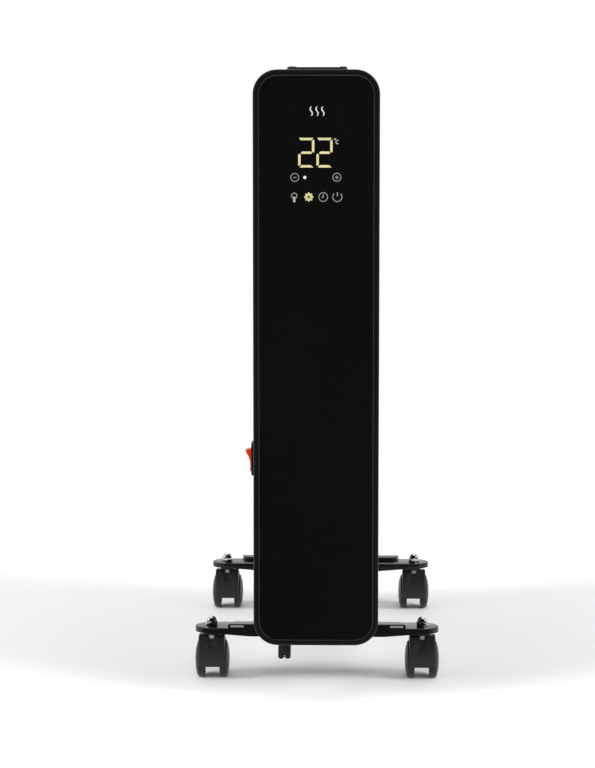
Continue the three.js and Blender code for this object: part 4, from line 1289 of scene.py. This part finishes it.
def build_foot():
    """The front foot: a folded tray with a raised strip along its outer half, without slots."""
    low, high = corners("foot_front")
    y = (low.y + high.y) / 2
    depth = high.y - low.y
    tray = slab("pressed_foot", low, (high.x, high.y, PLATE_TOP), Z, depth / 2 - 0.00002, 20)
    edit(tray)
    for x in (-RIM_END, -RIM_FLAT, RIM_FLAT, RIM_END):
        everything()
        bpy.ops.mesh.bisect(plane_co=(x, 0, 0), plane_no=(1, 0, 0))
    pick(tray, "VERT", lambda vert: abs(vert.co.x) > RIM_END - 0.0005
         and vert.co.z < low.z + NEAR)
    bpy.ops.transform.translate(value=(0, 0, RIM_RISE))
    bevel(tray, rim(Z, PLATE_TOP), 0.0016, 4)
    leave()
    right_end = [(STRIP_HALF - STRIP_CURVE * (1 - math.cos(turn)),
                  low.y + (y - low.y) * math.sin(turn))
                 for turn in (math.pi / 2 * step / 10 for step in range(11))]
    left_end = [(-x, place) for x, place in reversed(right_end)]
    strip = outlined("strip", [(*spot, PLATE_TOP - STRIP_ROOT) for spot in right_end + left_end],
                     (0, 0, high.z - PLATE_TOP + STRIP_ROOT))
    bevel_rims(strip, Z, 0.0017, 4, (False, True))
    weld(tray, strip)
    hollow = slab("hollow", (low.x + FOOT_SHEET, low.y + FOOT_SHEET, low.z - 0.01),
                  (high.x - FOOT_SHEET, high.y - FOOT_SHEET, PLATE_TOP - FOOT_SHEET), Z,
                  depth / 2 - FOOT_SHEET - 0.00002, 16)
    cut(tray, hollow)
    bolt = corners("hook_bolt_front")[1].x - ROD_RADIUS
    stems = [middle(f"caster_stem_front_{side}") for side in ("left", "right")]
    for hole_x, hole_y, radius in [*((stem.x, stem.y, 0.004) for stem in stems), (bolt, y, 0.0037)]:
        cut(tray, drum("hole", (hole_x, hole_y, PLATE_TOP - 0.009),
                       (hole_x, hole_y, PLATE_TOP + 0.011), radius, 24))
    return tray


def cut_slots(foot, start, end):
    """Two slots into the wall of a foot's raised strip, from y start to y end."""
    for x in (-SLOT_SIDE, SLOT_SIDE):
        cut(foot, slab("slot", (x - 0.0072, start, PLATE_TOP + 0.0008),
                       (x + 0.0072, end, PLATE_TOP + 0.0032), Y, 0.0011, 4))


def build_hook(name, node):
    """A bent rod round the header, threaded where its nut runs."""
    low, high = corners(node)
    centre = Vector(((low.x + high.x) / 2, middle(node).y, 0))
    bend = (high.x - low.x) / 2 - ROD_RADIUS
    header = high.z - ROD_RADIUS - bend
    long_side = 1 if node.endswith("front") else -1
    foot = Vector((centre.x + long_side * bend, centre.y, low.z))
    deselect()
    bpy.ops.mesh.primitive_circle_add(vertices=20, radius=ROD_RADIUS, fill_type="NGON",
                                      location=foot)
    hook = bpy.context.object
    hook.name = name
    settle(hook)
    edit(hook)
    everything()
    for _ in range(THREAD_TURNS):
        for rise, scale in ((0.15, 1.0), (0.35, THREAD_DEPTH), (0.15, 1.0),
                            (0.35, 1 / THREAD_DEPTH)):
            push((0, 0, THREAD_PITCH * rise))
            if scale != 1.0:
                bpy.ops.transform.resize(value=(scale, scale, 1), center_override=foot)
    push((0, 0, header - (low.z + THREAD_TURNS * THREAD_PITCH)))
    bpy.ops.mesh.spin(steps=28, angle=long_side * math.pi, center=(centre.x, centre.y, header),
                      axis=(0, 1, 0))
    push((0, 0, -0.008))
    everything()
    bpy.ops.mesh.remove_doubles(threshold=SAME_SPOT)
    bpy.ops.mesh.fill_holes(sides=0)
    point_outwards()
    leave()
    return hook


def build_wing_nut(name, node):
    low, high = corners(node)
    centre = middle(node)
    hub_low = high.z - 0.008
    hub = turned(name, [(0.0034, hub_low), (0.0052, hub_low), (0.006, hub_low + 0.001),
                        (0.006, high.z - 0.0006), (0.0056, high.z), (0.0034, high.z),
                        (0.0034, hub_low)], (centre.x, centre.y, 0), (0, 0, 1), 40)
    for side in (-1, 1):
        points = [(0.0048, hub_low + 0.0008), (0.0095, low.z + 0.0004), (0.0118, low.z),
                  (0.0142, low.z + 0.0006), (0.015, low.z + 0.0025), (0.0138, low.z + 0.0045),
                  (0.0048, high.z - 0.0015)]
        wing = outlined("wing", [(centre.x + side * x, centre.y - 0.0012, z) for x, z in points],
                        (0, 0.0024, 0))
        soften(wing, 0.0006, 3, 40)
        weld(hub, wing)
    return hub


def build_cap_nut(name, corner):
    """A domed nut: a chamfered hexagon under a polished dome."""
    low, high = corners(f"cap_nut_{corner}")
    centre = middle(f"cap_nut_{corner}")
    hexagon = drum(name, (centre.x, centre.y, low.z), (centre.x, centre.y, low.z + 0.0048),
                   0.007, 6)
    rounding = turned("rounding", [(0, -0.001), (0.0064, -0.001), (0.0071, 0.0005),
                                   (0.0071, 0.0036), (0.0062, 0.0049), (0, 0.0049)],
                      (centre.x, centre.y, low.z), (0, 0, 1), 60)
    combine(hexagon, [rounding], "INTERSECT")
    base, dome_radius, steps = 0.0046, 0.0054, 9
    rise = high.z - low.z - base
    profile = [(0, base - 0.001), (dome_radius, base - 0.001), (dome_radius, base)]
    for step in range(1, steps):
        angle = math.pi / 2 * step / steps
        profile.append((dome_radius * math.cos(angle), base + rise * math.sin(angle)))
    profile.append((0, base + rise))
    dome = turned("dome", profile, (centre.x, centre.y, low.z), (0, 0, 1), 48)
    weld(hexagon, dome)
    return soften(hexagon, 0.00025, 2, 28)


class HEATER_OT_feet(bpy.types.Operator):
    """Models the pressed feet with their hook bolts, wing nuts and domed nuts"""
    bl_idname = "heater.feet"
    bl_label = "Feet"

    def execute(self, context):
        front = build_foot()
        here, there = middle("foot_front"), middle("foot_rear")
        rear = copy_of(front, "pressed_foot_rear", there - here, here)
        low, high = corners("foot_front")
        cut(front, cuboid("under", (-0.0915, low.y + FOOT_SHEET, PLATE_TOP + 0.0001),
                          (0.0915, here.y + 0.001, high.z - FOOT_SHEET)))
        cut_slots(front, low.y - 0.01, here.y + 0.001)
        rear_face = corners("foot_rear")[1].y
        cut_slots(rear, rear_face - FOOT_SHEET - 0.0005, rear_face + 0.01)
        front.name = "pressed_foot_front"
        for piece, end in ((front, "front"), (rear, "rear")):
            finish_piece(piece, "heater", MATERIALS["black_enamel"],
                         [f"foot_{end}"], 35)
            hook = build_hook(f"clamp_hook_{end}", f"hook_bolt_{end}")
            finish_piece(hook, "heater", MATERIALS["zinc_steel"],
                         [f"hook_bolt_{end}"], 45)
            nut = build_wing_nut(f"clamp_wing_nut_{end}", f"wing_nut_{end}")
            finish_piece(nut, "heater", MATERIALS["zinc_steel"],
                         [f"wing_nut_{end}"], 45)
        for corner in CORNERS:
            finish_piece(build_cap_nut(f"domed_nut_{corner}", corner), "heater",
                         MATERIALS["chrome"], [f"cap_nut_{corner}"], 25)
        return {"FINISHED"}


# ---------------------------------------------------------------------------------------------
# Casters


TRAIL = 0.016
WELL = 0.021
HOOD_SKIN = 0.0022
HOOD_LIP = 0.015
TREAD_WIDTH = 0.006
TREAD_EDGE = 0.00015
DOME_STEPS = 12
COLLAR_START = 0.0004  # above the hood
COLLAR_END = 0.0567  # above the floor, under the foot
SHANK_RADIUS = 0.0037
THREAD_ROOT = 0.0033
THREAD_START = 0.0575
STEM_THREAD_PITCH = 0.00125


def build_hood():
    """The front left hood: a fender over both wheels, with a web and a stem socket."""
    low, high = corners("caster_hood_front_left")
    stem = middle("caster_stem_front_left")
    axle_z = middle("axle_front_left").z
    outer = WELL + HOOD_SKIN
    axle = (TRAIL, axle_z)
    rear = math.radians(15)
    lip = math.asin((HOOD_LIP - axle_z) / outer)
    outline = [(TRAIL - outer * math.cos(lip), HOOD_LIP), (TRAIL - 0.0067, axle_z - 0.006),
               (TRAIL + 0.0067, axle_z - 0.006)]
    outline += arc_points(axle, outer, rear, 0.36 * math.pi, 12)
    outline += [(0.0165, high.z - 0.0039), (0.0125, high.z - 0.0018), (0.0085, high.z - 0.0005),
                (0.004, high.z), (-0.0062, high.z), (-0.0074, high.z - 0.0005),
                (-0.008, high.z - 0.0018), (TRAIL - outer, axle_z)]
    hood = outlined("hood", [(low.x, stem.y + y, z) for y, z in outline], (high.x - low.x, 0, 0))
    bevel_rims(hood, X, 0.0016, 4)
    tools = []
    for side in (-1, 1):
        start = (stem.x + side * 0.0074, stem.y + TRAIL, axle_z)
        end = (stem.x + side * 0.03, stem.y + TRAIL, axle_z)
        tools.append(drum("well", start, end, WELL, sizes().round_steps))
    tools.append(drum("socket", (stem.x, stem.y, 0.024), (stem.x, stem.y, 0.06), 0.0043, 32))
    tools.append(slab("notch", (stem.x - 0.0029, stem.y - 0.02, high.z - 0.004),
                      (stem.x + 0.0029, stem.y, high.z + 0.01), Y, 0.0011, 4))
    tools.append(slab("groove", (stem.x - 0.0038, stem.y + TRAIL - outer - 0.004, high.z - 0.0125),
                      (stem.x + 0.0038, stem.y + TRAIL - outer + 0.0007, high.z + 0.01), Y,
                      0.0016, 4))
    tools.append(drum("axle_hole", (low.x, stem.y + TRAIL, axle_z),
                      (high.x, stem.y + TRAIL, axle_z), 0.0033, 24))
    cut(hood, *tools)
    return soften(hood, 0.0003, 2, 40)


def build_wheel():
    """The front left caster's left wheel: a rounded tread and a domed, grooved cover."""
    low, high = corners("wheel_front_left_left")
    axle = middle("axle_front_left")
    inner, outer = high.x, low.x
    radius = axle.z
    dome = inner - TREAD_WIDTH - outer
    profile = [(0.0036, 0.0014), (0.0062, 0.0014), (0.0066, 0.0004), (0.0072, 0.0), (0.0095, 0.0),
               (0.0101, 0.0006), (0.0104, 0.003), (0.0164, 0.003), (0.0168, 0.0006),
               (0.0174, 0.0), (0.0186, 0.0), (0.0194, 0.0004), (radius, 0.0012),
               (radius, 0.0054), (radius - TREAD_EDGE, TREAD_WIDTH)]
    for step in range(1, DOME_STEPS):
        angle = math.pi / 2 * step / DOME_STEPS
        reach = (radius - TREAD_EDGE) * math.cos(angle)
        groove = 0.00035 if 0.0148 < reach < 0.0166 else 0.0
        profile.append((reach, TREAD_WIDTH + dome * math.sin(angle) - groove))
    profile += [(0.0, TREAD_WIDTH + dome)]
    return turned("wheel", [(0.0, 0.0085), (0.0036, 0.0085), *profile],
                  (inner, axle.y, axle.z), (-1, 0, 0), sizes().round_steps)


def build_stem(corner):
    """A stem: its part in the hood painted pale as a highlight, a collar under the foot and a
    thread for the nut.
    """
    low, high = corners(f"caster_stem_{corner}")
    centre = middle(f"caster_stem_{corner}")
    hood_top = corners(f"caster_hood_{corner}")[1].z
    start = hood_top + COLLAR_START
    profile = [(0, low.z), (0.0034, low.z), (0.004, low.z + 0.0008), (0.004, start),
               (0.0076, start), (0.008, start + 0.0004), (0.008, COLLAR_END - 0.0004),
               (0.0076, COLLAR_END), (SHANK_RADIUS, COLLAR_END)]
    z = THREAD_START
    while z + STEM_THREAD_PITCH < high.z:
        profile += [(SHANK_RADIUS, z), (THREAD_ROOT, z + STEM_THREAD_PITCH / 2)]
        z += STEM_THREAD_PITCH
    profile += [(SHANK_RADIUS, z), (THREAD_ROOT, high.z), (0, high.z)]
    stem = turned(f"swivel_stem_{corner}", profile, (centre.x, centre.y, 0), (0, 0, 1), 40)
    for finish in ("zinc_steel", "caster_plastic", "pale_stem_highlight"):
        stem.data.materials.append(MATERIALS[finish])

    def on_collar(face):
        spot = face.calc_center_median()
        outside = (spot.xy - centre.xy).length > SHANK_RADIUS + 0.0001
        return outside and hood_top < spot.z < COLLAR_END + 0.0001

    def in_hood(face):
        return face.calc_center_median().z < hood_top + COLLAR_START / 2

    paint(stem, on_collar, 1)
    # painted highlight: the stem inside the hood gets the pale colour
    paint(stem, in_hood, 2)
    return stem


class HEATER_OT_casters(bpy.types.Operator):
    """Models the four twin-wheel casters"""
    bl_idname = "heater.casters"
    bl_label = "Casters"

    def execute(self, context):
        home = middle("caster_stem_front_left")
        hood, left = build_hood(), build_wheel()
        right = copy_of(left, "wheel_pattern")
        edit(right)
        everything()
        bpy.ops.transform.resize(value=(-1, 1, 1), center_override=home)
        point_outwards()
        leave()
        for corner in CORNERS:
            shift = middle(f"caster_stem_{corner}") - home
            shift.z = 0
            for pattern, name, body, node, angle in (
                    (hood, f"fender_{corner}", f"swivel_{corner}", f"caster_hood_{corner}", 35),
                    (left, f"roller_{corner}_left", f"roller_{corner}_left",
                     f"wheel_{corner}_left", 30),
                    (right, f"roller_{corner}_right", f"roller_{corner}_right",
                     f"wheel_{corner}_right", 30)):
                piece = copy_of(pattern, f"{name}_piece", shift)
                finish_piece(piece, body, MATERIALS["caster_plastic"], [node],
                             angle)
            finish_piece(build_stem(corner), "heater", MATERIALS["zinc_steel"],
                         [f"caster_stem_{corner}"], 40)
        for pattern in (hood, left, right):
            choose(pattern)
            bpy.ops.object.delete()
        return {"FINISHED"}


# ---------------------------------------------------------------------------------------------
# Inner parts that keep their frame shape


class HEATER_OT_inner_parts(bpy.types.Operator):
    """Gives the parts inside the column and the header their finishes"""
    bl_idname = "heater.inner_parts"
    bl_label = "Inner parts"

    def execute(self, context):
        finishes = {
            "zinc_steel": ["element_flange", "oil_filler_plug", "thermal_cutout",
                           "tilt_switch_body", "tilt_pendulum",
                           *[f"axle_{corner}" for corner in CORNERS]],
            "element_sheath": ["heating_element"],
            "circuit_board": ["display_board", "power_board"],
            "mark_white": ["led_display"],
            "relay_case": ["relay"],
            "ceramic": ["terminal_block"],
        }
        for finish, nodes in finishes.items():
            for node in nodes:
                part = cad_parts[node]
                part.data.materials.clear()
                part.data.materials.append(MATERIALS[finish])
        return {"FINISHED"}


# ---------------------------------------------------------------------------------------------
# Floor, light and camera


CAMERA_SIDE = 0.0313
CAMERA_BACK = 2.702
CAMERA_HEIGHT = 0.6454
CAMERA_DOWN = 0.1213
CAMERA_LEFT = 0.0192
CAMERA_LENS = 122.03


def studio_world():
    """White to the camera, even light on matt surfaces, a graded room in mirror-like ones."""
    world = bpy.data.worlds.new("studio")
    bpy.context.scene.world = world
    world.use_nodes = True
    tree = world.node_tree
    tree.nodes.clear()
    shades = {}
    for label, strength in (("seen", 1.0), ("fill", 0.34), ("room", 1.0)):
        shades[label] = tree.nodes.new("ShaderNodeBackground")
        shades[label].inputs["Color"].default_value = (1, 1, 1, 1)
        shades[label].inputs["Strength"].default_value = strength
    place = tree.nodes.new("ShaderNodeTexCoord")
    split = tree.nodes.new("ShaderNodeSeparateXYZ")
    tree.links.new(place.outputs["Generated"], split.inputs["Vector"])
    ramp = tree.nodes.new("ShaderNodeValToRGB")
    stops = ramp.color_ramp.elements
    stops[0].position, stops[0].color = 0.3, (0.03, 0.03, 0.033, 1)
    stops[1].position, stops[1].color = 0.7, (0.9, 0.9, 0.92, 1)
    depth = remap(tree, split.outputs["Y"], -1.0, 1.0, 0.0, 1.0)
    tree.links.new(depth, ramp.inputs["Fac"])
    tree.links.new(ramp.outputs["Color"], shades["room"].inputs["Color"])
    path = tree.nodes.new("ShaderNodeLightPath")
    mirrored = tree.nodes.new("ShaderNodeMixShader")
    mix = tree.nodes.new("ShaderNodeMixShader")
    out = tree.nodes.new("ShaderNodeOutputWorld")
    tree.links.new(path.outputs["Is Glossy Ray"], mirrored.inputs["Fac"])
    tree.links.new(shades["fill"].outputs["Background"], mirrored.inputs[1])
    tree.links.new(shades["room"].outputs["Background"], mirrored.inputs[2])
    tree.links.new(path.outputs["Is Camera Ray"], mix.inputs["Fac"])
    tree.links.new(mirrored.outputs["Shader"], mix.inputs[1])
    tree.links.new(shades["seen"].outputs["Background"], mix.inputs[2])
    tree.links.new(mix.outputs["Shader"], out.inputs["Surface"])


def softbox(name, place, target, width, height, power):
    deselect()
    bpy.ops.object.light_add(type="AREA", location=place)
    light = bpy.context.object
    light.name = name
    light.data.shape = "RECTANGLE"
    light.data.size = width
    light.data.size_y = height
    light.data.energy = power
    light.rotation_euler = (Vector(target) - Vector(place)).to_track_quat("-Z", "Y").to_euler()


def soft_sun(name, source, strength, spread):
    """Even light that gives no glints; spread is the width of its disc in degrees."""
    deselect()
    bpy.ops.object.light_add(type="SUN", location=source)
    light = bpy.context.object
    light.name = name
    light.data.energy = strength
    light.data.angle = math.radians(spread)
    light.rotation_euler = Vector(source).to_track_quat("Z", "Y").to_euler()
    light.visible_glossy = False


def stage_floor():
    deselect()
    bpy.ops.mesh.primitive_circle_add(vertices=96, radius=2.6, fill_type="NGON",
                                      location=(0, 0, -0.0003))
    floor = bpy.context.object
    floor.name = "studio_floor"
    settle(floor)
    floor.data.materials.append(plain_material("studio_floor", 0.95, 0.8))


def black_flag():
    """A card that only mirror-like surfaces see, so that the glass front stays black."""
    front = CAD_BOX[0][1]
    flag = chain("black_flag", [(-0.9, front - 0.04, 0.0012), (-0.9, front - 0.5, 0.0012),
                                (-0.9, front - 0.55, 0.2), (-0.9, front - 0.55, 1.7)])
    everything()
    push((1.8, 0, 0))
    leave()
    flag.data.materials.append(plain_material("black_flag", 0.003, 1.0))
    flag.visible_camera = False
    flag.visible_diffuse = False
    flag.visible_shadow = False
    flag.visible_transmission = False


class HEATER_OT_stage(bpy.types.Operator):
    """Sets the floor, the soft studio light and the camera"""
    bl_idname = "heater.stage"
    bl_label = "Stage"

    def execute(self, context):
        scene = context.scene
        scene.view_settings.view_transform = "Standard"
        scene.view_settings.look = "None"
        studio_world()
        stage_floor()
        black_flag()
        target = (0, 0, 0.35)
        softbox("top_light", (0, 0.1, 2.6), target, 2.4, 2.4, 14)
        softbox("left_light", (-2.2, -0.6, 1.2), target, 0.7, 1.8, 9)
        softbox("right_light", (2.2, -0.9, 1.3), target, 0.7, 1.8, 7)
        soft_sun("front_sun", (0, -1, 0.68), 0.95, 24)
        soft_sun("left_sun", (-1, -0.5, 0.5), 1.95, 28)
        soft_sun("right_sun", (1, -0.5, 0.5), 1.95, 28)
        stem_y = middle("caster_stem_front_left").y
        deselect()
        bpy.ops.object.camera_add(
            location=(CAMERA_SIDE, stem_y - CAMERA_BACK, CAMERA_HEIGHT),
            rotation=(math.pi / 2 - CAMERA_DOWN, 0, CAMERA_LEFT))
        camera = context.object
        camera.data.lens = CAMERA_LENS
        camera.data.sensor_width = 36
        scene.camera = camera
        return {"FINISHED"}


# ---------------------------------------------------------------------------------------------
# The add-on


STEPS = (
    HEATER_OT_surfaces,
    HEATER_OT_stage,
    HEATER_OT_column,
    HEATER_OT_display,
    HEATER_OT_switch,
    HEATER_OT_handle,
    HEATER_OT_feet,
    HEATER_OT_casters,
    HEATER_OT_fins,
    HEATER_OT_inner_parts,
)


class HEATER_PT_pieces(bpy.types.Panel):
    """Lists the heater's modelling steps, sizes and colours"""
    bl_idname = "HEATER_PT_pieces"
    bl_label = "Oil filled heater"
    bl_space_type = "VIEW_3D"
    bl_region_type = "UI"
    bl_category = "Heater"

    def draw(self, context):
        for step in STEPS:
            self.layout.operator(step.bl_idname)
        for group in (context.scene.heater_sizes, context.scene.heater_colours):
            for name in group.__annotations__:
                self.layout.prop(group, name)


CLASSES = (HeaterSizes, HeaterColours, *STEPS, HEATER_PT_pieces)


def register():
    for kind in CLASSES:
        bpy.utils.register_class(kind)
    bpy.types.Scene.heater_sizes = PointerProperty(type=HeaterSizes)
    bpy.types.Scene.heater_colours = PointerProperty(type=HeaterColours)


def unregister():
    del bpy.types.Scene.heater_colours
    del bpy.types.Scene.heater_sizes
    for kind in reversed(CLASSES):
        bpy.utils.unregister_class(kind)


def main():
    register()
    for step in STEPS:
        group, name = step.bl_idname.split(".")
        getattr(getattr(bpy.ops, group), name)()
    deselect()


if __name__ == "__main__":
    main()
